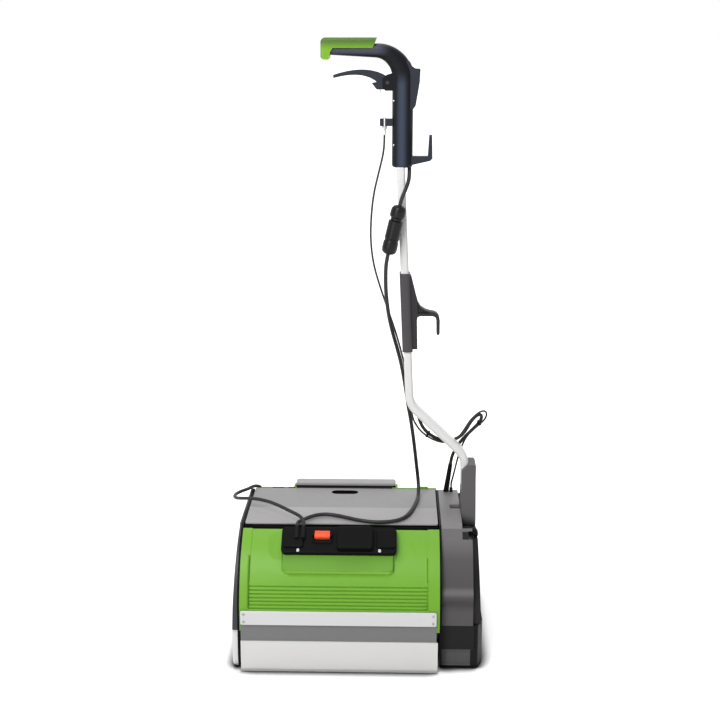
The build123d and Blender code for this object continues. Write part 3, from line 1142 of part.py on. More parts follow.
lead_sleeve_axis = Vector(*LEAD_SLEEVE_LOW) - Vector(*LEAD_SLEEVE_TOP)
lead_sleeve = Plane(Vector(*LEAD_SLEEVE_TOP), z_dir=lead_sleeve_axis.normalized()).location * Cone(
    LEAD_D / 2 + 0.8, LEAD_D / 2 + 2.2, lead_sleeve_axis.length, align=(Align.CENTER, Align.CENTER, Align.MIN)
)
lead_sleeve -= block(0, GUARD_RIGHT, 0, HALF_DEPTH, 0, TOP_Z)
control_ferrule = rod_z(*FERRULE, TOP_Z, FERRULE_TOP_Z, CONTROL_D / 2 + 1.4)
grommet = rod_z(*GROMMET, SHOULDER_TOP_Z - 12, SHOULDER_TOP_Z - 3, LEAD_D / 2 + 2.5)
save("cable_glands", Compound(children=glands + [lead_sleeve, control_ferrule, grommet]))
save("rear_cover", rear_cover - grommet)
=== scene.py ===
# %% [markdown]
# # A roller floor scrubber, dressed in Blender
#
# The machine is an upright scrubber with two brushes under a green domed body. The frame holds every
# rigid piece at its real size. These cells give the surfaces their finish, lay the cables along their
# routes, plant the bristles and set up the camera, the floor and the light.

# %% Load the frame
import json
import math

import bmesh
import bpy
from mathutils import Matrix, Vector


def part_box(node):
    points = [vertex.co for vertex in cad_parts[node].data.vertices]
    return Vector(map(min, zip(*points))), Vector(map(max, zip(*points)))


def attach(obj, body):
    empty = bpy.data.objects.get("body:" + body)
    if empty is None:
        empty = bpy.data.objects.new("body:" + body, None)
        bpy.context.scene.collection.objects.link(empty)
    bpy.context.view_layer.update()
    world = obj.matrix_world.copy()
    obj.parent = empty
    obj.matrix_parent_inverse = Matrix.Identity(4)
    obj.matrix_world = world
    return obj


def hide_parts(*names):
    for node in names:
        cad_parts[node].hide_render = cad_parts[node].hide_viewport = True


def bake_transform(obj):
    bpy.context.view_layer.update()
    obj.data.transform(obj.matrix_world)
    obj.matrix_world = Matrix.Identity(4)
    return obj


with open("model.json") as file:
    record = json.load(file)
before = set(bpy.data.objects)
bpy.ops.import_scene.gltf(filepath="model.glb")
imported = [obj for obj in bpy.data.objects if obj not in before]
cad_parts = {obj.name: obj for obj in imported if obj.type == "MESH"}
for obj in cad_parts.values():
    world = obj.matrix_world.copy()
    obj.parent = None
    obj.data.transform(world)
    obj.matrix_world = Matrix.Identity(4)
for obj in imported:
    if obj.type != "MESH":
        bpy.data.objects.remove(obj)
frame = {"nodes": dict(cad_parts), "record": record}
nodes = frame["nodes"]
bodies = frame["record"]["behaviour"]["bodies"]
body_of_node = {node: body for body, group in bodies.items() for node in group}
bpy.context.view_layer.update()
MM = 0.001

# %% [markdown]
# ## Camera
#
# The photograph was taken from about the height of the grip, looking down a little, with a long lens, so
# upright edges stay nearly parallel. The camera's place and lens were fitted to edges of known size on the
# body. A camera could also be aimed with a constraint, but plain numbers keep it the same in every run.

# %% Camera
CAMERA_PLACE = (0.06782, -2.4, 1.08769)
CAMERA_PITCH = 0.22962
CAMERA_YAW = 0.02683
CAMERA_LENS = 66.83

camera_data = bpy.data.cameras.new("camera")
camera_data.lens = CAMERA_LENS
camera_data.sensor_width = 36
camera = bpy.data.objects.new("camera", camera_data)
camera.location = CAMERA_PLACE
camera.rotation_euler = (math.pi / 2 - CAMERA_PITCH, 0, CAMERA_YAW)
bpy.context.scene.collection.objects.link(camera)
bpy.context.scene.camera = camera
bpy.context.scene.view_settings.view_transform = "Standard"
print("camera lens:", camera_data.lens)

# %% [markdown]
# ## Node graphs as Python
#
# A finish or a repeated pattern is a small graph of nodes. Written by hand, each sum costs a node, two links
# and three names. The class below wraps a socket, so that `grain * 0.2 + 0.4` adds the Math nodes by itself,
# and one method makes every other node from its type, its settings and its inputs.


# %% Sockets and graphs
class Value:
    """A number or a geometry that a node gives, with the operators that the graphs use."""

    def __init__(self, graph, socket):
        self.graph = graph
        self.socket = socket

    def maths(self, operation, first, second):
        return self.graph.node("ShaderNodeMath", {"operation": operation}, {0: first, 1: second})

    def __add__(self, other):
        return self.maths("ADD", self, other)

    def __sub__(self, other):
        return self.maths("SUBTRACT", self, other)

    def __rsub__(self, other):
        return self.maths("SUBTRACT", other, self)

    def __mul__(self, other):
        return self.maths("MULTIPLY", self, other)

    def __truediv__(self, other):
        return self.maths("DIVIDE", self, other)

    def __mod__(self, other):
        return self.maths("MODULO", self, other)

    __radd__ = __add__
    __rmul__ = __mul__


class Graph:
    """A node tree under construction."""

    def __init__(self, tree):
        self.tree = tree

    def node(self, kind, settings=None, inputs=None, out=0):
        made = self.tree.nodes.new(kind)
        for name, setting in (settings or {}).items():
            setattr(made, name, setting)
        for name, value in (inputs or {}).items():
            self.feed(made.inputs[name], value)
        return Value(self, made.outputs[out])

    def feed(self, socket, value):
        if isinstance(value, Value):
            self.tree.links.new(value.socket, socket)
        else:
            socket.default_value = value

    def ramp(self, value, low, high, at_low=0.0, at_high=1.0):
        inputs = {"Value": value, "From Min": low, "From Max": high, "To Min": at_low, "To Max": at_high}
        return self.node("ShaderNodeMapRange", {"interpolation_type": "SMOOTHSTEP"}, inputs)

    def split(self, vector, axis):
        return self.node("ShaderNodeSeparateXYZ", None, {"Vector": vector}, out=axis)


class Finish(Graph):
    """A material under construction."""

    def __init__(self, name):
        self.material = bpy.data.materials.new(name)
        self.material.use_nodes = True
        super().__init__(self.material.node_tree)
        self.shader = self.tree.nodes["Principled BSDF"]
        self.place = self.node("ShaderNodeTexCoord", out="Object")

    def set(self, **sockets):
        for name, value in sockets.items():
            self.feed(self.shader.inputs[name.replace("_", " ")], value)
        return self

    def noise(self, scale, detail=2.0, roughness=0.5, place=None):
        inputs = {"Vector": place or self.place, "Scale": scale, "Detail": detail, "Roughness": roughness}
        return self.node("ShaderNodeTexNoise", None, inputs, out="Fac")

    def stretched(self, stretch):
        return self.node("ShaderNodeMapping", None, {"Vector": self.place, "Scale": stretch})

    def mix(self, share, first, second):
        inputs = {"Factor": share, 6: first, 7: second}
        return self.node("ShaderNodeMix", {"data_type": "RGBA"}, inputs, out=2)

    def bump(self, height, depth, strength=1.0):
        inputs = {"Height": height, "Distance": depth, "Strength": strength}
        self.set(Normal=self.node("ShaderNodeBump", None, inputs))


def srgb(red, green, blue, share=1.0):
    """A colour as it is seen, from 0 to 255, as the linear colour that a shader takes."""
    def linear(level):
        level = level / 255
        return level / 12.92 if level <= 0.04045 else ((level + 0.055) / 1.055) ** 2.4
    return (linear(red) * share, linear(green) * share, linear(blue) * share, 1.0)


# %% [markdown]
# ## Finishes
#
# Most of the machine is moulded plastic. A moulding is never one flat colour: the pigment drifts a little
# over a hand's width, the mould leaves a fine grain, and the gloss is uneven where hands and boxes have
# rubbed it. Each of these is one noise texture at its own real scale. Zones paint a second colour onto a
# moulding between limits along its axes. Most of them are painted light and shade: black or darker colour
# where shade falls in gaps, slots, recesses and under overhangs, such as the black band under the grey tank's
# lid, and lighter bands or painted highlights where light falls.

# %% Moulded plastics and rubber
GRAIN = 1400
DRIFT = 7
SCUFF = 55
GLOSS_SPREAD = 0.16
FINE = 0.00003
PLAIN = 0.00004
COARSE = 0.00007
ROUGH = 0.00008
SLICK = 0.00001


def moulded(name, colour, gloss, shine=0.3, grain_depth=PLAIN, drift=0.05, zones=()):
    """A moulded plastic: its pigment drifts, its skin has a fine grain and its gloss is uneven."""
    finish = Finish(name)
    seen = colour
    for limits, zone_colour in zones:
        share = 1.0
        for axis, low, high in limits:
            share = finish.ramp(finish.split(finish.place, axis), low, high) * share
        seen = finish.mix(share, seen, zone_colour)
    drift_share = finish.noise(DRIFT, 3.0) * (2 * drift) + (1 - drift)
    tint = finish.node("ShaderNodeCombineColor", None, {0: drift_share, 1: drift_share, 2: drift_share})
    blend = {"data_type": "RGBA", "blend_type": "MULTIPLY"}
    finish.set(Base_Color=finish.node("ShaderNodeMix", blend, {"Factor": 1.0, 6: seen, 7: tint}, out=2))
    scuff = finish.noise(SCUFF, 5.0, 0.6)
    finish.set(Roughness=scuff * GLOSS_SPREAD + (gloss - GLOSS_SPREAD / 2), Specular_IOR_Level=shine)
    finish.bump(finish.noise(GRAIN, 2.0) + finish.noise(GRAIN / 5, 2.0) * 0.5, grain_depth)
    return finish.material


def inside(axis, low, high, edge=0.0005):
    """The limits of a zone between two places on an axis."""
    return [(axis, low - edge, low + edge), (axis, high + edge, high - edge)]


# Black painted where shade falls: in gaps, a slot and a notch, and under the carry bar. It also colours two
# dark marks on the rear rim.
BLACK_SHADE_AND_MARKS = srgb(11, 11, 12)
# A darker green painted on the switch box's boss: painted shade.
BOSS_PAINTED_SHADE = inside("X", -0.129, 0.068) + inside("Z", 0.184, 0.204, 0.003)
# Black painted on the rear cover's rim under the carry bar: the bar's painted shadow.
BAR_PAINTED_SHADOW = inside("X", -0.124, 0.064) + [("Y", 0.1, 0.101), ("Z", 0.24, 0.2405)]
# Two black marks on the rear cover's rim.
REAR_RIM_MARKS = [inside("X", low, high) + [("Y", 0.1, 0.101), ("Z", 0.2425, 0.243)]
              for low, high in ((-0.172, -0.149), (-0.14, -0.127))]
# A lighter green painted on the boss's lower lip: painted light over the shade under the boss's edge.
BOSS_LIP_PAINTED_LIGHT = inside("X", -0.127, 0.066) + inside("Z", 0.1775, 0.1835, 0.001)
# Darker green painted beside the switch box: painted shade.
BOX_SHADES = [inside("X", low, high, 0.01) + inside("Z", 0.194, 0.222, 0.012)
              for low, high in ((-0.134, -0.12), (0.06, 0.08))]
GREEN = moulded("green_moulding", srgb(109, 165, 42), 0.42,
                zones=[(zone, srgb(90, 147, 42)) for zone in BOX_SHADES]
                + [(BOSS_PAINTED_SHADE, srgb(97, 150, 42)), (BOSS_LIP_PAINTED_LIGHT, srgb(146, 202, 72))]
                + [(zone, BLACK_SHADE_AND_MARKS) for zone in (BAR_PAINTED_SHADOW, *REAR_RIM_MARKS)])
# A darker green painted on the grip cap's top: painted shade.
CAP_TOP_PAINTED_SHADE = [("Z", 1.082, 1.102)]
GRIP_GREEN = moulded("grip_green", srgb(118, 168, 38), 0.42, zones=[(CAP_TOP_PAINTED_SHADE, srgb(68, 102, 30))])
# A lighter grey painted on the lid's front part, in front of its crease: painted light.
LID_FRONT_PAINTED_LIGHT = [("Y", -0.0105, -0.0115)]
# Black painted on the walls of the lid's finger slot: painted shade in the slot.
FINGER_SLOT_PAINTED_SHADE = inside("X", -0.0545, -0.0015) + inside("Y", 0.0665, 0.0895) + [("Z", 0.24325, 0.24305)]
TANK_GREY = moulded("tank_grey", srgb(137, 136, 136), 0.36, 0.25,
                    zones=[(LID_FRONT_PAINTED_LIGHT, srgb(156, 154, 155)), (FINGER_SLOT_PAINTED_SHADE, BLACK_SHADE_AND_MARKS)])
# Black painted on the top of the tank's rim and on its inside: painted shade in the gap under the lid.
TANK_INSIDE_PAINTED_SHADE = inside("Y", -0.084, 0.084) + inside("X", -0.1995, 0.1425)
RIM_PAINTED_SHADE_BAND = [("Z", 0.2302, 0.2306)]
TANK_RIM = moulded("tank_rim", srgb(150, 148, 149), 0.4, 0.15,
                   zones=[(RIM_PAINTED_SHADE_BAND, BLACK_SHADE_AND_MARKS), (TANK_INSIDE_PAINTED_SHADE, BLACK_SHADE_AND_MARKS)])
# Near-black painted on the carry bar's lower part: painted shade under the bar.
BAR_UNDERSIDE_PAINTED_SHADE = [("Z", 0.247, 0.2452)]
BAR_GREY = moulded("bar_grey", srgb(154, 152, 152), 0.38, zones=[(BAR_UNDERSIDE_PAINTED_SHADE, srgb(16, 15, 15))])
LID_GREY = moulded("housing_top_grey", srgb(124, 122, 123), 0.42, 0.25)
# Black painted in the housing's notch under the bracket: painted shade in the recess.
NOTCH_PAINTED_SHADE = inside("X", 0.192, 0.21) + inside("Z", 0.2225, 0.2328) + [("Y", -0.085, -0.088)]
# Grey bands painted on the drive housing by height: painted light on the top and on the foot, a painted
# highlight band over the bead and a painted shade band below it.
HOUSING_FOOT_PAINTED_LIGHT = [("Z", 0.116, 0.106)]
HOUSING_TOP_PAINTED_LIGHT = [("Z", 0.19, 0.225)]
HOUSING_PAINTED_HIGHLIGHT_BAND = inside("Z", 0.138, 0.149, 0.004)
HOUSING_PAINTED_SHADE_BAND = inside("Z", 0.118, 0.128, 0.004)
HOUSING_GREY = moulded("housing_grey", srgb(76, 74, 75), 0.46, 0.2, COARSE,
                       zones=[(HOUSING_FOOT_PAINTED_LIGHT, srgb(83, 81, 82)), (HOUSING_TOP_PAINTED_LIGHT, srgb(102, 100, 101)),
                              (HOUSING_PAINTED_HIGHLIGHT_BAND, srgb(98, 96, 97)), (HOUSING_PAINTED_SHADE_BAND, srgb(62, 60, 61)),
                              (NOTCH_PAINTED_SHADE, BLACK_SHADE_AND_MARKS)])
GUARD_END = [("X", 0.212, 0.213)]
GUARD_SHADE = srgb(24, 24, 25)
GUARD_BLACK = moulded("guard_black", srgb(32, 32, 33), 0.5, 0.1, COARSE, zones=[(GUARD_END, GUARD_SHADE)])
FOOT_END = [("X", 0.2055, 0.2065)]
GUARD_GREY = moulded("guard_grey", srgb(85, 85, 86), 0.5, 0.1, COARSE, zones=[(FOOT_END, GUARD_SHADE)])
DRIVE_TOP = [("Z", 0.11, 0.17)]
DRIVE_SIDE = moulded("drive_side_black", srgb(42, 42, 44), 0.42, 0.1, zones=[(DRIVE_TOP, srgb(20, 20, 21))])
SIDE_GREY = moulded("side_grey", srgb(62, 61, 63), 0.36, 0.2)
SLEEVE_GREY = moulded("sleeve_grey", srgb(76, 74, 76), 0.45, 0.14)
# Near-black painted on the bracket's rounded bottom: painted shade.
BRACKET_FOOT_PAINTED_SHADE = [("Z", 0.236, 0.214)]
BRACKET_GREY = moulded("bracket_grey", srgb(92, 90, 91), 0.45, 0.2, zones=[(BRACKET_FOOT_PAINTED_SHADE, srgb(14, 14, 15))])
HOOK_GREY = moulded("hook_grey", srgb(44, 42, 44), 0.45, 0.2)
BLACK = moulded("panel_black", srgb(12, 12, 13), 0.42, 0.06)
COUPLER_BLACK = moulded("coupler_black", srgb(14, 13, 14), 0.3, 0.22)
# A lighter blue-grey painted down the middle of the stem and along the arm's top: painted highlights.
STEM_PAINTED_HIGHLIGHT = inside("X", 0.071, 0.084, 0.006) + [("Z", 1.05, 1.02)]
ARM_PAINTED_HIGHLIGHT = [("Z", 1.072, 1.081), ("X", 0.06, 0.03)]
STEM = moulded("stem_blue_black", srgb(17, 18, 22), 0.42, 0.12, FINE,
               zones=[(STEM_PAINTED_HIGHLIGHT, srgb(60, 67, 82)), (ARM_PAINTED_HIGHLIGHT, srgb(70, 72, 84))])
LEVER = moulded("lever_blue_black", srgb(40, 43, 52), 0.4, 0.2, FINE)
BARREL_SLOT = inside("X", 0.0457, 0.0478, 0.0002)
ADJUSTER = moulded("adjuster_blue_black", srgb(40, 43, 52), 0.4, 0.2, FINE,
                   zones=[(BARREL_SLOT, srgb(240, 240, 240))])
BARREL_WHITE = moulded("barrel_white", srgb(240, 240, 240), 0.35)
ORANGE = moulded("rocker_orange", srgb(236, 84, 40), 0.35)
INNER_GREY = moulded("inner_grey", srgb(72, 72, 74), 0.5)
NYLON = moulded("gear_nylon", srgb(222, 216, 200), 0.45)
# A slightly darker white painted on the sheet's bottom edge: painted shade on the edge that faces down.
SHEET_EDGE_PAINTED_SHADE = [("Z", 0.0062, 0.0052)]
SHEET_WHITE = moulded("apron_white", srgb(221, 220, 218), 0.5, 0.3, FINE, 0.012,
                      zones=[(SHEET_EDGE_PAINTED_SHADE, srgb(212, 211, 210))])
BAND_GREY = moulded("apron_band", srgb(122, 122, 122), 0.62, 0.2, ROUGH, 0.02)
RUBBER = moulded("soft_rubber", srgb(16, 16, 17), 0.62, 0.12)
SKIRT_SILVER = moulded("skirt_silver", srgb(222, 222, 223), 0.4, 0.3, FINE, 0.02)
BRISTLE = moulded("bristle_nylon", srgb(46, 47, 50), 0.45, 0.3, SLICK, 0.2)
TIE_BLACK = moulded("tie_black", srgb(14, 14, 15), 0.35, 0.2)
print("mouldings:", len(bpy.data.materials))

# %% [markdown]
# The handle tube is powder-coated steel, with the slight orange peel that melted powder leaves. The apron's
# clamp strip is satin silver, with drawn lines along its length, and the screws and pins are turned steel.

# %% Coated and bare metal
PEEL = 420
PEEL_DEPTH = 0.00005
CLOUD = 9
SMEAR = 70
DRAWN_DEPTH = 0.00002
JACKET_CLOUD = 60
JACKET_SCUFF = 240
JACKET_GRAIN = 900


def powder_coat(name, colour):
    """Melted powder on steel: smooth, with a slow orange peel."""
    finish = Finish(name)
    peel = finish.noise(PEEL, 2.0)
    finish.set(Base_Color=finish.mix(finish.noise(CLOUD, 3.0), srgb(*colour, share=0.96), srgb(*colour)))
    finish.set(Roughness=finish.noise(SMEAR, 4.0) * 0.14 + 0.24)
    finish.bump(peel, PEEL_DEPTH)
    return finish.material


def drawn_metal(name, colour, stretch, gloss, metallic):
    """Metal with fine lines along the way that it was drawn or turned."""
    finish = Finish(name)
    lines = finish.noise(1.0, 3.0, 0.6, finish.stretched(stretch))
    finish.set(Base_Color=finish.mix(lines, srgb(*colour, share=0.93), srgb(*colour)), Metallic=metallic)
    finish.set(Specular_IOR_Level=0.3)
    finish.set(Roughness=lines * 0.2 + (gloss - 0.1))
    finish.bump(lines, DRAWN_DEPTH)
    return finish.material


TUBE_WHITE = powder_coat("tube_white", (226, 225, 224))
STRIP_SILVER = drawn_metal("strip_silver", (214, 213, 214), (12, 2400, 2400), 0.38, 0.15)
STEEL = drawn_metal("turned_steel", (205, 205, 208), (2200, 2200, 300), 0.3, 1.0)
DARK_STEEL = drawn_metal("dark_steel", (62, 62, 66), (1500, 300, 300), 0.42, 1.0)
ZINC = drawn_metal("zinc", (176, 176, 178), (900, 900, 900), 0.4, 0.8)
CORE_METAL = drawn_metal("core_metal", (170, 170, 174), (300, 2000, 2000), 0.35, 1.0)


def jacket(name, colour):
    """A cable's soft jacket: matt, a little cloudy, with a fine grain."""
    finish = Finish(name)
    cloud = finish.noise(JACKET_CLOUD, 3.0)
    finish.set(Base_Color=finish.mix(cloud, srgb(*colour, share=0.8), srgb(*colour)))
    finish.set(Roughness=finish.noise(JACKET_SCUFF, 3.0) * 0.2 + 0.36, Specular_IOR_Level=0.3)
    finish.bump(finish.noise(JACKET_GRAIN, 2.0), FINE)
    return finish.material


CABLE = jacket("cable_jacket", (38, 36, 37))
print("materials:", len(bpy.data.materials))

# %% [markdown]
# ## Smooth copies of the frame's pieces
#
# The frame arrives as loose triangles, each with its own corners, so round faces would show their facets.
# A copy gets its corners merged and its flat triangles joined to whole faces. It is then shaded smooth up to
# a limit angle, which keeps true edges crisp, and its normals are weighted by area, so that a large flat face
# stays flat beside a small rounded edge. The long covers are first cut into short cells, so that the shading
# round the switch box stays there and doesn't run along the whole face. The copy takes the node's place, and
# rides on the same body. The rubber stops get a sloped outer corner at the end.

# %% Dress the rigid pieces
MERGE = 2e-6
FLAT_ANGLE = math.radians(0.3)
SMOOTH_ANGLE = math.radians(28)
CELL = 0.006
CUT_SNAP = 1e-7
LONG_SHELLS = ("front_cover", "rear_cover")


def linked(name, data):
    """A new object in the scene."""
    thing = bpy.data.objects.new(name, data)
    bpy.context.scene.collection.objects.link(thing)
    return thing


def evaluated_mesh(thing):
    """The mesh that an object shows, with its curve or modifiers worked out."""
    bpy.context.view_layer.update()
    return bpy.data.meshes.new_from_object(thing.evaluated_get(bpy.context.evaluated_depsgraph_get()))


def all_parts(work):
    """Every corner, edge and face of a mesh that is being edited."""
    return list(work.verts) + list(work.edges) + list(work.faces)


def smooth_copy(node):
    """A merged copy of a node's mesh, smooth except at true edges."""
    mesh = nodes[node].data.copy()
    mesh.materials.clear()
    work = bmesh.new()
    work.from_mesh(mesh)
    bmesh.ops.remove_doubles(work, verts=work.verts, dist=MERGE)
    bmesh.ops.dissolve_limit(work, angle_limit=FLAT_ANGLE, verts=work.verts, edges=work.edges)
    if node in LONG_SHELLS:
        low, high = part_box(node)
        for step in range(1, int((high[0] - low[0]) / CELL)):
            plane = {"plane_co": (low[0] + step * CELL, 0, 0), "plane_no": (1, 0, 0)}
            bmesh.ops.bisect_plane(work, geom=all_parts(work), dist=CUT_SNAP, **plane)
    work.to_mesh(mesh)
    work.free()
    mesh.shade_smooth()
    mesh.set_sharp_from_angle(angle=SMOOTH_ANGLE)
    piece = linked(node + "_dressed", mesh)
    even = piece.modifiers.new("even_shading", "WEIGHTED_NORMAL")
    even.keep_sharp = True
    weighted = evaluated_mesh(piece)
    piece.modifiers.clear()
    piece.data = weighted
    return piece


dressed = {}


def dress(material, *names):
    """Give nodes a finish, on smooth copies that stand for them."""
    for name in names:
        piece = smooth_copy(name)
        piece.data.materials.append(material)
        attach(piece, body_of_node[name])
        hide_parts(name)
        dressed[name] = piece


dress(GREEN, "front_cover", "rear_cover")
dress(TANK_GREY, "tank_lid")
dress(TANK_RIM, "solution_tank")
dress(BAR_GREY, "carry_bar")
dress(SIDE_GREY, "left_side_cover")
dress(SKIRT_SILVER, "left_side_skirt")
dress(LID_GREY, "drive_lid")
dress(HOUSING_GREY, "drive_housing")
dress(DRIVE_SIDE, "drive_side_cover")
dress(GUARD_BLACK, "brush_guard_upper")
dress(GUARD_GREY, "brush_guard_lower")
dress(BLACK, "switch_box", "breaker_cover")
dress(COUPLER_BLACK, "inline_coupler")
dress(ORANGE, "rocker_switch")
dress(STEM, "handle_stem")
dress(LEVER, "lever", "inlet_box", "upper_hook")
dress(ADJUSTER, "adjuster_bracket")
dress(GRIP_GREEN, "grip_cap")
dress(TUBE_WHITE, "handle_tube")
dress(SLEEVE_GREY, "mid_sleeve")
dress(BRACKET_GREY, "bracket_front_half", "bracket_rear_half")
dress(HOOK_GREY, "mid_hook")
dress(SHEET_WHITE, "front_apron_sheet", "rear_apron_sheet")
dress(BAND_GREY, "front_apron_band", "rear_apron_band")
dress(STRIP_SILVER, "front_apron_strip", "rear_apron_strip")
dress(BLACK, "left_end_plate", "right_end_plate")
dress(BARREL_WHITE, "barrel_adjuster")
dress(STEEL, "idler_axles", "roller_bearings")
dress(DARK_STEEL, "pivot_pin", "motor", "motor_pulley", "lever_pin")
dress(CORE_METAL, "brush_front_shaft", "brush_rear_shaft")
dress(NYLON, "idler_gear_front", "idler_gear_rear")
dress(INNER_GREY, "recovery_tray", "conveyor_drum")
dress(RUBBER, "stop_buffers", "drive_belt", "cable_glands")

BUFFER_CORNER = (0.2165, 0, 0.2335)
BUFFER_SLOPE = (0.79, 0, 0.61)


def cut_off(piece, place, way):
    """Take away what lies beyond a plane, and close the cut."""
    work = bmesh.new()
    work.from_mesh(piece.data)
    cut = bmesh.ops.bisect_plane(work, geom=all_parts(work), plane_co=place, plane_no=way, clear_outer=True)
    edges = [part for part in cut["geom_cut"] if isinstance(part, bmesh.types.BMEdge)]
    bmesh.ops.holes_fill(work, edges=edges)
    work.to_mesh(piece.data)
    work.free()


cut_off(dressed["stop_buffers"], BUFFER_CORNER, BUFFER_SLOPE)
print("dressed:", len(dressed))

# %% [markdown]
# ## Patterns that repeat
#
# Bristles, screws and grip ribs repeat one small shape many times, which is what Geometry Nodes are for. A
# tree is built here like a finish, with named inputs for its sizes. Points say where the copies go: those of
# the object that carries the tree, or a row that the tree makes. The result is turned into a plain mesh,
# because an export drops instances.


# %% A pattern maker
class Pattern(Graph):
    """A Geometry Nodes tree under construction, with named inputs for its sizes."""

    def __init__(self, name, **sizes):
        super().__init__(bpy.data.node_groups.new(name, "GeometryNodeTree"))
        face = self.tree.interface
        face.new_socket("Geometry", in_out="INPUT", socket_type="NodeSocketGeometry")
        self.settings = {}
        for size, value in sizes.items():
            kind = "NodeSocketInt" if isinstance(value, int) else "NodeSocketFloat"
            self.settings[face.new_socket(size, in_out="INPUT", socket_type=kind).identifier] = value
        face.new_socket("Geometry", in_out="OUTPUT", socket_type="NodeSocketGeometry")
        entry = self.tree.nodes.new("NodeGroupInput")
        self.points = Value(self, entry.outputs[0])
        self.size = {size: Value(self, entry.outputs[size]) for size in sizes}

    def xyz(self, x, y, z):
        return self.node("ShaderNodeCombineXYZ", None, {0: x, 1: y, 2: z})

    def facing(self, direction):
        return self.node("FunctionNodeAlignRotationToVector", {"axis": "Z"}, {"Vector": direction})

    def moved(self, geometry, place=(0, 0, 0), turn=(0, 0, 0)):
        inputs = {"Geometry": geometry, "Translation": place, "Rotation": turn}
        return self.node("GeometryNodeTransform", None, inputs)

    def joined(self, *parts):
        join = self.tree.nodes.new("GeometryNodeJoinGeometry")
        for part in parts:
            self.tree.links.new(part.socket, join.inputs[0])
        return Value(self, join.outputs[0])

    def make(self, name, geometry, material, places=((0, 0, 0),), directions=None):
        """The pattern as a plain mesh on a new object."""
        whole = self.node("GeometryNodeRealizeInstances", None, {0: geometry})
        coloured = self.node("GeometryNodeSetMaterial", None, {0: whole, "Material": material})
        end = self.tree.nodes.new("NodeGroupOutput")
        self.feed(end.inputs[0], coloured)
        mesh = bpy.data.meshes.new(name)
        mesh.from_pydata([metres(place) for place in places], [], [])
        if directions:
            facing = mesh.attributes.new("facing", "FLOAT_VECTOR", "POINT")
            for item, direction in zip(facing.data, directions):
                item.vector = direction
        piece = linked(name, mesh)
        modifier = piece.modifiers.new("pattern", "NODES")
        modifier.node_group = self.tree
        for identifier, value in self.settings.items():
            modifier[identifier] = value
        made = evaluated_mesh(piece)
        piece.modifiers.clear()
        piece.data = made
        print(name, "faces", len(made.polygons))
        return piece


def metres(place):
    return tuple(level * MM for level in place)


# %% [markdown]
# Each brush is a plastic sleeve with rows of stiff nylon tufts that wind round it, one way in front and the
# other way at the rear. Modelled one by one they would take thousands of objects. Here the number of a point
# gives its row and its ring, and from these come its angle and its place along the sleeve.

# %% Brushes
BRUSH_Y = 96
BRUSH_Z = 52.3
BRUSH_R = 52
SLEEVE_R = 30
BRUSH_LEFT = -201
BRUSH_RIGHT = 145
TUFT_ROWS = 22
TUFT_RINGS = 74
TUFT_TWIST = math.radians(150)
TUFT_TIP_R = 0.0011
TUFT_FOOT_R = 0.0017
TUFT_SINK = 0.001
SHORTEST = 0.93
TUFT_SEED = 4


def brush(name, node, y, twist):
    """A sleeve with its winding rows of tufts."""
    graph = Pattern(name, Rows=TUFT_ROWS, Rings=TUFT_RINGS, Twist=twist, Root=SLEEVE_R * MM, Tip=BRUSH_R * MM,
                    Left=BRUSH_LEFT * MM, Length=(BRUSH_RIGHT - BRUSH_LEFT) * MM)
    size = graph.size
    line = graph.node("GeometryNodeMeshLine", None, {"Count": size["Rows"] * size["Rings"]})
    number = graph.node("GeometryNodeInputIndex")
    row = number % size["Rows"]
    ring = (number - row) / size["Rows"]
    along = (ring + 0.5) / size["Rings"]
    angle = (row + (ring % 2) * 0.5) * (2 * math.pi) / size["Rows"] + along * size["Twist"]
    out_y = graph.node("ShaderNodeMath", {"operation": "SINE"}, {0: angle})
    out_z = graph.node("ShaderNodeMath", {"operation": "COSINE"}, {0: angle})
    root = size["Root"] - TUFT_SINK
    place = graph.xyz(size["Left"] + along * size["Length"], out_y * root + y * MM,
                      out_z * root + BRUSH_Z * MM)
    points = graph.node("GeometryNodeSetPosition", None, {"Geometry": line, "Position": place})
    shape = {"Vertices": 5, "Radius Top": TUFT_TIP_R, "Radius Bottom": TUFT_FOOT_R,
             "Depth": size["Tip"] - root}
    tuft = graph.node("GeometryNodeMeshCone", {"fill_type": "NGON"}, shape)
    limits = {2: SHORTEST, 3: 1.0, "Seed": TUFT_SEED}
    short = graph.node("FunctionNodeRandomValue", {"data_type": "FLOAT"}, limits, out=1)
    inputs = {"Points": points, "Instance": tuft, "Rotation": graph.facing(graph.xyz(0.0, out_y, out_z)),
              "Scale": graph.xyz(1.0, 1.0, short)}
    tufts = graph.node("GeometryNodeInstanceOnPoints", None, inputs)
    shape = {"Vertices": 64, "Radius": size["Root"], "Depth": size["Length"]}
    tube = graph.node("GeometryNodeMeshCylinder", None, shape)
    middle = graph.xyz(size["Left"] + size["Length"] * 0.5, y * MM, BRUSH_Z * MM)
    sleeve = graph.moved(tube, middle, (0, math.pi / 2, 0))
    piece = graph.make(name, graph.joined(sleeve, tufts), BRISTLE)
    piece.data.set_sharp_from_angle(angle=SMOOTH_ANGLE)
    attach(piece, body_of_node[node])
    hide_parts(node)


brush("front_brush", "brush_front_roller", -BRUSH_Y, TUFT_TWIST)
brush("rear_brush", "brush_rear_roller", BRUSH_Y, -TUFT_TWIST)

# %% [markdown]
# The screws are small pan heads with a cross recess. One tree makes the head from a cone, cuts the cross with
# a boolean, and sets a copy on each point, turned the way that the point's own `facing` attribute says.

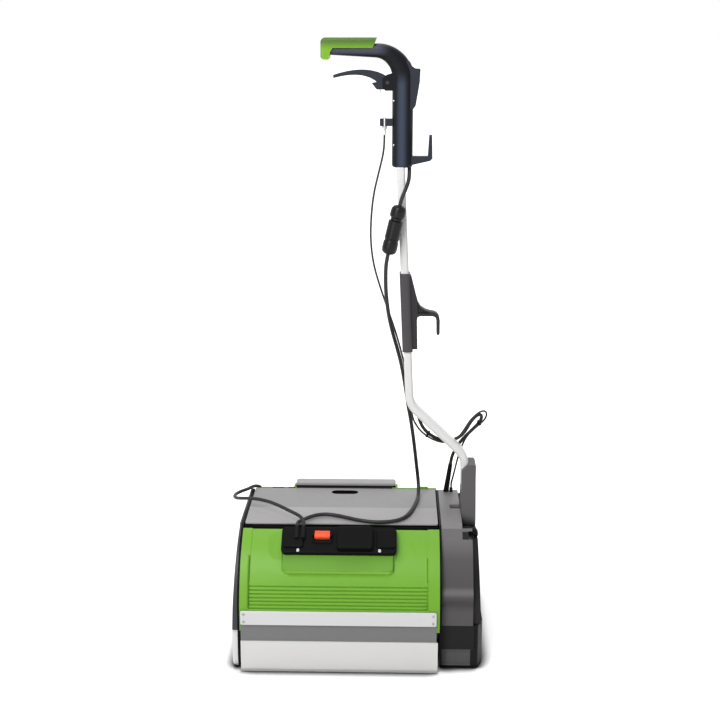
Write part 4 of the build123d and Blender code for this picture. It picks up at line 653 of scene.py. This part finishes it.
# %% Screws
PANEL_TILT = math.radians(38)
PANEL_PLACE = Vector((-30.5, -134, 220.5))
PANEL_UP = Vector((0, math.cos(PANEL_TILT), math.sin(PANEL_TILT)))
PANEL_OUT = Vector((0, -math.sin(PANEL_TILT), math.cos(PANEL_TILT)))
PANEL_SCREW_X = 73
PANEL_SCREW_DOWN = 22
PANEL_SCREW_OUT = 9
STRIP_FACE_Y = 202
STRIP_SCREW_X = (-198, 138.5)
STRIP_SCREW_Z = (95, 109)
HEAD_TOP = 0.72
CROSS_LONG = 1.25
CROSS_WIDE = 0.3


def screws(name, radius, height, material, places, directions, body):
    """Screw heads with a cross recess, each on its own point."""
    graph = Pattern(name, Radius=radius * MM, Height=height * MM)
    wide = graph.size["Radius"]
    tall = graph.size["Height"]
    shape = {"Vertices": 24, "Side Segments": 2, "Radius Top": wide * HEAD_TOP, "Radius Bottom": wide,
             "Depth": tall}
    head = graph.node("GeometryNodeMeshCone", None, shape)
    bars = []
    for long_way, short_way in ((CROSS_LONG, CROSS_WIDE), (CROSS_WIDE, CROSS_LONG)):
        shape = {"Size": graph.xyz(wide * long_way, wide * short_way, tall)}
        bar = graph.node("GeometryNodeMeshCube", None, shape)
        bars.append(graph.moved(bar, graph.xyz(0.0, 0.0, tall)))
    cut = graph.tree.nodes.new("GeometryNodeMeshBoolean")
    graph.feed(cut.inputs["Mesh 1"], head)
    for bar in bars:
        graph.tree.links.new(bar.socket, cut.inputs["Mesh 2"])
    facing = graph.node("GeometryNodeInputNamedAttribute", {"data_type": "FLOAT_VECTOR"}, {"Name": "facing"})
    crossed = Value(graph, cut.outputs[0])
    inputs = {"Points": graph.points, "Instance": crossed, "Rotation": graph.facing(facing)}
    heads = graph.node("GeometryNodeInstanceOnPoints", None, inputs)
    piece = graph.make(name, heads, material, places, directions)
    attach(piece, body)
    return piece


strip_places = [(x, side * STRIP_FACE_Y, z)
                for side in (-1, 1) for x in STRIP_SCREW_X for z in STRIP_SCREW_Z]
strip_ways = [(0, math.copysign(1, place[1]), 0) for place in strip_places]
heads = screws("strip_screws", 2.6, 1.4, ZINC, strip_places, strip_ways, "chassis")
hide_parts("panel_screws")
panel_line = PANEL_PLACE - PANEL_UP * PANEL_SCREW_DOWN + PANEL_OUT * PANEL_SCREW_OUT
panel_places = [panel_line + Vector((x, 0, 0)) for x in (-PANEL_SCREW_X, PANEL_SCREW_X)]
heads = screws("switch_box_screws", 3.4, 1.6, STEEL, panel_places, [PANEL_OUT] * 2, "chassis")
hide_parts("panel_screws")
STEM_SCREW_WAY = (-0.82, -0.57, 0)
stem_places = [(62.6, -10.0, 996.6), (62.8, -10.0, 919.5)]
screws("stem_screws", 1.9, 0.7, STEEL, stem_places, [STEM_SCREW_WAY] * 2, "handle")

# %% [markdown]
# The coupler in the mains cable has fine grip ribs along its body, so that wet gloves can pull it apart. They
# stand round its middle line, which leans with the cable.

# %% Coupler ribs
COUPLER_TOP = Vector((75, -30, 815))
COUPLER_FOOT = Vector((54.3, -30, 727.5))
RIBS = 26
RIB_LENGTH = 30.0
RIB_MIDDLE = 0.46
RIB_WIDTH = 0.0011
coupler_axis = (COUPLER_TOP - COUPLER_FOOT).normalized()


def coupler_body_radius():
    """The coupler's radius at the middle of its ribs, from the frame's own mesh."""
    middle = COUPLER_FOOT.lerp(COUPLER_TOP, RIB_MIDDLE) * MM
    reach = []
    for corner in nodes["inline_coupler"].data.vertices:
        away = corner.co - middle
        if abs(away.dot(coupler_axis)) < RIB_LENGTH * MM / 2:
            reach.append((away - coupler_axis * away.dot(coupler_axis)).length)
    return min(reach)


ribs = Pattern("coupler_rib_tree", Count=RIBS, Radius=coupler_body_radius(), Length=RIB_LENGTH * MM,
               Width=RIB_WIDTH)
angle = ribs.node("GeometryNodeInputIndex") * (2 * math.pi) / ribs.size["Count"]
rib_x = ribs.node("ShaderNodeMath", {"operation": "COSINE"}, {0: angle}) * ribs.size["Radius"]
rib_y = ribs.node("ShaderNodeMath", {"operation": "SINE"}, {0: angle}) * ribs.size["Radius"]
ring = ribs.node("GeometryNodeMeshLine", None, {"Count": ribs.size["Count"]})
ring = ribs.node("GeometryNodeSetPosition", None, {"Geometry": ring, "Position": ribs.xyz(rib_x, rib_y, 0.0)})
bar = ribs.node("GeometryNodeMeshCone", None, {
    "Vertices": 6, "Radius Top": ribs.size["Width"] * 0.5, "Radius Bottom": ribs.size["Width"] * 0.5,
    "Depth": ribs.size["Length"],
})
bar = ribs.moved(bar, ribs.xyz(0.0, 0.0, ribs.size["Length"] * -0.5))
bars = ribs.node("GeometryNodeInstanceOnPoints", None, {"Points": ring, "Instance": bar})
lean = coupler_axis.to_track_quat("Z", "Y").to_euler()
place = COUPLER_FOOT.lerp(COUPLER_TOP, RIB_MIDDLE) * MM
coupler_ribs = ribs.make("coupler_ribs", ribs.moved(bars, place, lean), COUPLER_BLACK)
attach(coupler_ribs, "handle")

# %% [markdown]
# ## Cables
#
# The mains cable comes out of the stem, goes through a plug coupler, hangs down beside the tube, lies over
# the tank and ends in the switch box. A second lead leaves the box for the rear. A thin control cable runs
# from the lever to the drive, with the drive's lead beside it. Each route is a list of points that keeps
# close to the frame's own tube, and a NURBS spline along them gives the easy line of a real cable. A cable
# that crosses a joint is made in pieces: a piece rides on the handle or the chassis, or stays where it is
# laid.

# %% Routes
MAINS_D = 7.0
LEAD_D = 6.5
CONTROL_D = 3.6
WIRE_D = 1.6
MAINS_UPPER = [
    (91.5, 0, 884), (91.8, -3, 871), (90.5, -13, 857), (85, -24, 843), (78.05, -30, 827.9), (75, -30, 815),
]
MAINS_LOWER = [
    (54.3, -30, 727.5), (51.077, -30, 713.876), (50, -28, 688), (51, -22, 652), (56, -10, 612),
    (63, 5, 578), (71, 20, 548), (80, 29, 512), (87, 32, 472), (93, 30, 432), (99.5, 33, 398),
    (104, 41, 364), (107.5, 51, 334), (110.5, 60, 306), (113, 66.5, 284), (114.6, 66, 268),
    (115, 57.5, 255), (114.2, 44, 247.6), (111.5, 24, 247.3), (107.4, -2, 247.3), (100.5, -36, 247.1),
    (89.5, -70, 246.7), (72, -90, 246.4), (50, -97, 246.3), (27, -96.5, 246.3), (4, -89, 246.5),
    (-18, -76, 246.8), (-37, -65.5, 247.1), (-46.5, -63, 247.4), (-56, -60.5, 247.7), (-75, -66.5, 248.3),
    (-89, -82, 248.6), (-99, -97, 249), (-104.5, -108.5, 249.6), (-106.5, -115.9, 250.5),
    (-106.5, -122, 245.75),
]
SWITCH_LEAD = [
    (-95.5, -122, 245.75), (-95.5, -115.7, 250.7), (-97.6, -109.6, 255.2), (-103.4, -102, 258.6),
    (-113, -92, 260), (-126.5, -79, 261.5), (-143, -63.5, 264.2), (-161.5, -47, 265.3),
    (-181, -31.5, 265.3), (-203, -17.2, 262.3), (-222, -3, 257), (-234, 12, 252.5), (-238.5, 29, 250.7),
    (-236, 47, 249.7), (-227.5, 63, 249.3), (-218, 77, 248.6), (-212.8, 89, 248), (-207.8, 100, 247.2),
    (-202.8, 107.5, 245), (-198.4, 113.4, 242), (-196, 117, 238), (-196, 117, 233),
]
CONTROL_UPPER = [
    (46.7, 0, 937), (46.7, 0, 926), (45.3, -1, 905), (37, -4, 871), (28, -6, 834), (23.5, -7, 792),
    (22.5, -6, 750), (27.5, -2, 706), (40, 6, 662), (54, 15, 620), (69, 18.5, 576), (82, 18.8, 530),
    (90, 18.4, 490), (95, 18.6, 458), (99, 20, 428),
]
CONTROL_LOWER = [
    (99, 20, 428), (101.2, 20.77, 411.5), (108, 20.3, 397.5), (117.5, 19.3, 385), (129.5, 18.8, 375.5),
    (143, 18.6, 368), (158, 18.8, 363.5), (173, 19.6, 365), (184, 20, 370.5), (192.5, 20, 379),
    (200, 20, 391), (209.2, 19, 406.9), (221.1, 19, 419.6), (231.5, 22, 425.1), (239.3, 27, 422.8),
    (240.4, 29.25, 418.4), (241.5, 31.5, 414), (236.5, 34.5, 403), (224.5, 36, 391.5), (210.5, 37, 378.5),
    (201, 39, 364), (195, 43, 346.7), (189.5, 51, 326.6), (185, 61.5, 300), (181.3, 74, 277),
    (179.2, 83.5, 264.5), (178.8, 87, 258), (178.8, 87, 251.5),
]
DRIVE_LEAD = [
    (110, 15, 430.5), (110, 20.5, 430.5), (110.8, 25.5, 425.2), (112.7, 27, 412), (117.5, 26.5, 397.2),
    (125.6, 26, 384.8), (136.5, 25.7, 375.6), (150, 25.6, 368.4), (165.5, 26, 364.8), (181, 27, 367),
    (193.5, 27.8, 374.5), (202.6, 27.8, 386), (210.6, 26.3, 402), (219.7, 26, 413.5), (228, 28.5, 417),
    (230.15, 31, 414.25), (232.3, 33.5, 411.5), (229.8, 38.5, 400), (219, 42, 386.5), (206.5, 44.5, 373),
    (196, 46.5, 361), (187.3, 50, 347.5), (181.3, 56, 333.5), (177.5, 63.6, 319.3), (176, 68, 306),
]
INNER_WIRE = [(46.7, 0, 945), (46.7, 0, 968), (43.4, 0, 991), (39, 0, 1015.6)]
AIR_SPLIT = 12
LID_SPLIT = 29
LEAD_SPLIT = 8
TIP_SPLIT = 16
CURVE_STEPS = 8
BEVEL_STEPS = 4
print("points on the longest route:", len(MAINS_LOWER))


# %% Cables
def cable(name, route, diameter, material):
    """A round cable along a route, as a mesh, and the points of its middle line."""
    curve = bpy.data.curves.new(name, "CURVE")
    curve.dimensions = "3D"
    curve.resolution_u = CURVE_STEPS
    spline = curve.splines.new("NURBS")
    spline.points.add(len(route) - 1)
    for point, place in zip(spline.points, route):
        point.co = (*metres(place), 1)
    spline.order_u = 3
    spline.use_endpoint_u = True
    carrier = linked(name + "_route", curve)
    line = [vertex.co.copy() for vertex in evaluated_mesh(carrier).vertices]
    curve.bevel_depth = diameter * MM / 2
    curve.bevel_resolution = BEVEL_STEPS
    curve.use_fill_caps = True
    mesh = evaluated_mesh(carrier)
    mesh.materials.clear()
    mesh.materials.append(material)
    mesh.shade_smooth()
    bpy.data.objects.remove(carrier)
    piece = linked(name, mesh)
    length = sum((b - a).length for a, b in zip(line, line[1:]))
    print(name, "length", round(length, 3))
    return piece, line, length


def declare(node):
    """Hide the frame's own piece that a cable stands for."""
    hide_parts(node)


piece, line, length = cable("mains_upper", MAINS_UPPER, MAINS_D, CABLE)
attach(piece, "handle")
declare("mains_cable_upper")

piece, line, length = cable("mains_hanging", MAINS_LOWER[:AIR_SPLIT], MAINS_D, CABLE)
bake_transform(piece)
declare("mains_cable_lower")

piece, line, length = cable("mains_over_tank", MAINS_LOWER[AIR_SPLIT - 1:LID_SPLIT], MAINS_D, CABLE)
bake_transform(piece)
declare("mains_cable_lower")

piece, line, length = cable("mains_to_switch", MAINS_LOWER[LID_SPLIT - 1:], MAINS_D, CABLE)
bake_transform(piece)
declare("mains_cable_lower")

piece, line, length = cable("switch_lead_to_tank", SWITCH_LEAD[:LEAD_SPLIT], LEAD_D, CABLE)
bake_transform(piece)
declare("switch_lead")

piece, line, length = cable("switch_lead_to_rear", SWITCH_LEAD[LEAD_SPLIT - 1:], LEAD_D, CABLE)
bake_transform(piece)
declare("switch_lead")

piece, line, length = cable("control_upper", CONTROL_UPPER, CONTROL_D, CABLE)
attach(piece, "handle")
declare("control_cable")

# %% [markdown]
# The two leads at the tube's bend cross the handle's hinge. Each is made in two pieces: the loop stays where
# it is laid, and the end at the drive rides on the chassis. Two cable ties hold the leads together, the first
# on the handle and the second on the chassis. Each is a flat band round both of them with a small lock on one
# side, and its size comes from how far apart the leads lie there.

# %% Leads and ties
TIE_PLACES = [(130, 24, 379), (226.5, 38, 397)]
TIE_WIDTH = 0.0032
TIE_THICK = 0.0012
TIE_SIDES = 32
LOCK_RISE = 2.2
LOCK_SPREAD = 0.35


def tie(name, target, line, control_line):
    """A cable tie round both leads: a flat band with a small lock on one side."""
    target = Vector(target) * MM
    number = min(range(1, len(line) - 1), key=lambda n: (line[n] - target).length)
    near = line[number]
    mate = min(control_line, key=lambda point: (point - near).length)
    along = (line[number + 1] - line[number - 1]).normalized()
    across = (mate - near) - along * (mate - near).dot(along)
    apart = across.length
    across.normalize()
    side = along.cross(across)
    middle = near + across * (apart + CONTROL_D * MM / 2 - LEAD_D * MM / 2) / 2
    half_long = (apart + (CONTROL_D + LEAD_D) * MM / 2) / 2
    half_short = LEAD_D * MM / 2
    work = bmesh.new()
    rings = []
    for step in range(TIE_SIDES):
        angle = 2 * math.pi * step / TIE_SIDES
        lock = TIE_THICK * (1 + LOCK_RISE * math.exp(-((angle - math.pi) / LOCK_SPREAD) ** 2))
        loop = []
        for stretch, shift in ((0.0, -0.5), (0.0, 0.5), (lock, 0.5), (lock, -0.5)):
            flat = across * math.cos(angle) * (half_long + stretch)
            flat += side * math.sin(angle) * (half_short + stretch)
            loop.append(work.verts.new(middle + flat + along * (shift * TIE_WIDTH)))
        rings.append(loop)
    for first, second in zip(rings, rings[1:] + rings[:1]):
        for a in range(4):
            b = (a + 1) % 4
            work.faces.new((first[a], first[b], second[b], second[a]))
    bmesh.ops.recalc_face_normals(work, faces=work.faces)
    mesh = bpy.data.meshes.new(name)
    work.to_mesh(mesh)
    work.free()
    mesh.materials.append(TIE_BLACK)
    band = linked(name, mesh)
    return band


piece, control_loop, length = cable("control_lower", CONTROL_LOWER[:TIP_SPLIT], CONTROL_D, CABLE)
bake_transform(piece)
declare("control_leads")

piece, control_end, length = cable("control_to_drive", CONTROL_LOWER[TIP_SPLIT - 1:], CONTROL_D, CABLE)
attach(piece, "chassis")
declare("control_leads")

piece, line, length = cable("drive_lead", DRIVE_LEAD[:TIP_SPLIT], LEAD_D, CABLE)
band = tie("cable_tie_1", TIE_PLACES[0], line, control_loop)
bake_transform(piece)
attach(band, "handle")
declare("control_leads")

piece, line, length = cable("drive_lead_to_drive", DRIVE_LEAD[TIP_SPLIT - 1:], LEAD_D, CABLE)
band = tie("cable_tie_2", TIE_PLACES[1], line, control_end)
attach(piece, "chassis")
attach(band, "chassis")
declare("control_leads")

piece, line, length = cable("inner_wire_steel", INNER_WIRE, WIRE_D, BARREL_WHITE)
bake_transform(piece)
declare("inner_wire")

# %% [markdown]
# ## Floor and light
#
# The machine stands on a pale seamless sweep. The sky is white behind and above, and dim in front, as in a
# studio where the camera stands in the dark: that keeps the black plastic black. The camera and the
# reflections see white all round, so that another view has the same background. Soft lamps light the front at
# a plain level. The floor looks white to the camera because part of its light is its own, more so further
# away, and the rest is reflected, so that the machine's shadow still falls on it.

# %% Floor, lamps and sky
FLOOR_SIZE = 160
NEAR_GLOW = 0.61
FAR_GLOW = 1.0
GLOW_START = 0.3
GLOW_END = 1.1
CREVICE = 0.036
CREVICE_DARK = 0.46
CREVICE_PALE = 0.93
FLOOR_PALE = 0.65
DARK_SKY = 0.25
SKY_BACK = 0.9
SKY_UP = 0.5
SKY_LOW = 0.3
SKY_HIGH = 0.85
LAMP_SIZE = 1.6

floor_finish = Finish("floor_white")
rays = floor_finish.tree.nodes.new("ShaderNodeLightPath")
seen = Value(floor_finish, rays.outputs["Is Camera Ray"]) + Value(floor_finish, rays.outputs["Is Glossy Ray"])
seen = seen + Value(floor_finish, rays.outputs["Is Transmission Ray"])
from_middle = {0: floor_finish.place}
away = floor_finish.node("ShaderNodeVectorMath", {"operation": "LENGTH"}, from_middle, out="Value")
# An ambient-occlusion node darkens the floor's glow and colour close to the machine: a painted contact
# shadow.
open_share = floor_finish.node("ShaderNodeAmbientOcclusion", {"samples": 16}, {"Distance": CREVICE}, out="AO")
shade = floor_finish.ramp(open_share, CREVICE_DARK, CREVICE_PALE)
glow = floor_finish.ramp(away, GLOW_START, GLOW_END, NEAR_GLOW, FAR_GLOW) * shade
glow_colour = floor_finish.node("ShaderNodeCombineColor", None, {0: glow, 1: glow, 2: glow})
pale = shade * FLOOR_PALE
pale_colour = floor_finish.node("ShaderNodeCombineColor", None, {0: pale, 1: pale, 2: pale})
floor_finish.set(Base_Color=pale_colour, Roughness=0.9, Emission_Color=glow_colour, Emission_Strength=seen)
floor_mesh = bpy.data.meshes.new("floor")
half = FLOOR_SIZE / 2
corners = [(-half, -half, 0), (half, -half, 0), (half, half, 0), (-half, half, 0)]
floor_mesh.from_pydata(corners, [], [(0, 1, 2, 3)])
floor_mesh.materials.append(floor_finish.material)
floor = linked("floor", floor_mesh)

world = bpy.data.worlds.new("studio")
world.use_nodes = True
bpy.context.scene.world = world
sky = Graph(world.node_tree)
way = sky.node("ShaderNodeTexCoord", out="Generated")
height = sky.split(way, "Y") * SKY_BACK + sky.split(way, "Z") * SKY_UP
background = world.node_tree.nodes["Background"]
background.inputs["Color"].default_value = (1, 1, 1, 1)
studio = sky.ramp(height, SKY_LOW, SKY_HIGH, DARK_SKY, 1.0)
rays = sky.tree.nodes.new("ShaderNodeLightPath")
seen = Value(sky, rays.outputs["Is Camera Ray"]) + Value(sky, rays.outputs["Is Transmission Ray"])
seen = seen + Value(sky, rays.outputs["Is Glossy Ray"])
sky.feed(background.inputs["Strength"], studio + (1 - studio) * seen)


def lamp(name, place, target, watts):
    """A soft square lamp that faces a point."""
    data = bpy.data.lights.new(name, "AREA")
    data.size = LAMP_SIZE
    data.energy = watts
    thing = linked(name, data)
    thing.location = place
    thing.rotation_euler = (Vector(target) - Vector(place)).to_track_quat("-Z", "Y").to_euler()


lamp("key", (-0.8, -2.0, 2.9), (0, 0, 0.3), 70)
lamp("front", (-1.5, -3.0, 1.4), (0, 0, 0.5), 28)
lamp("top", (0.2, 0.9, 3.2), (0, 0, 0.2), 22)
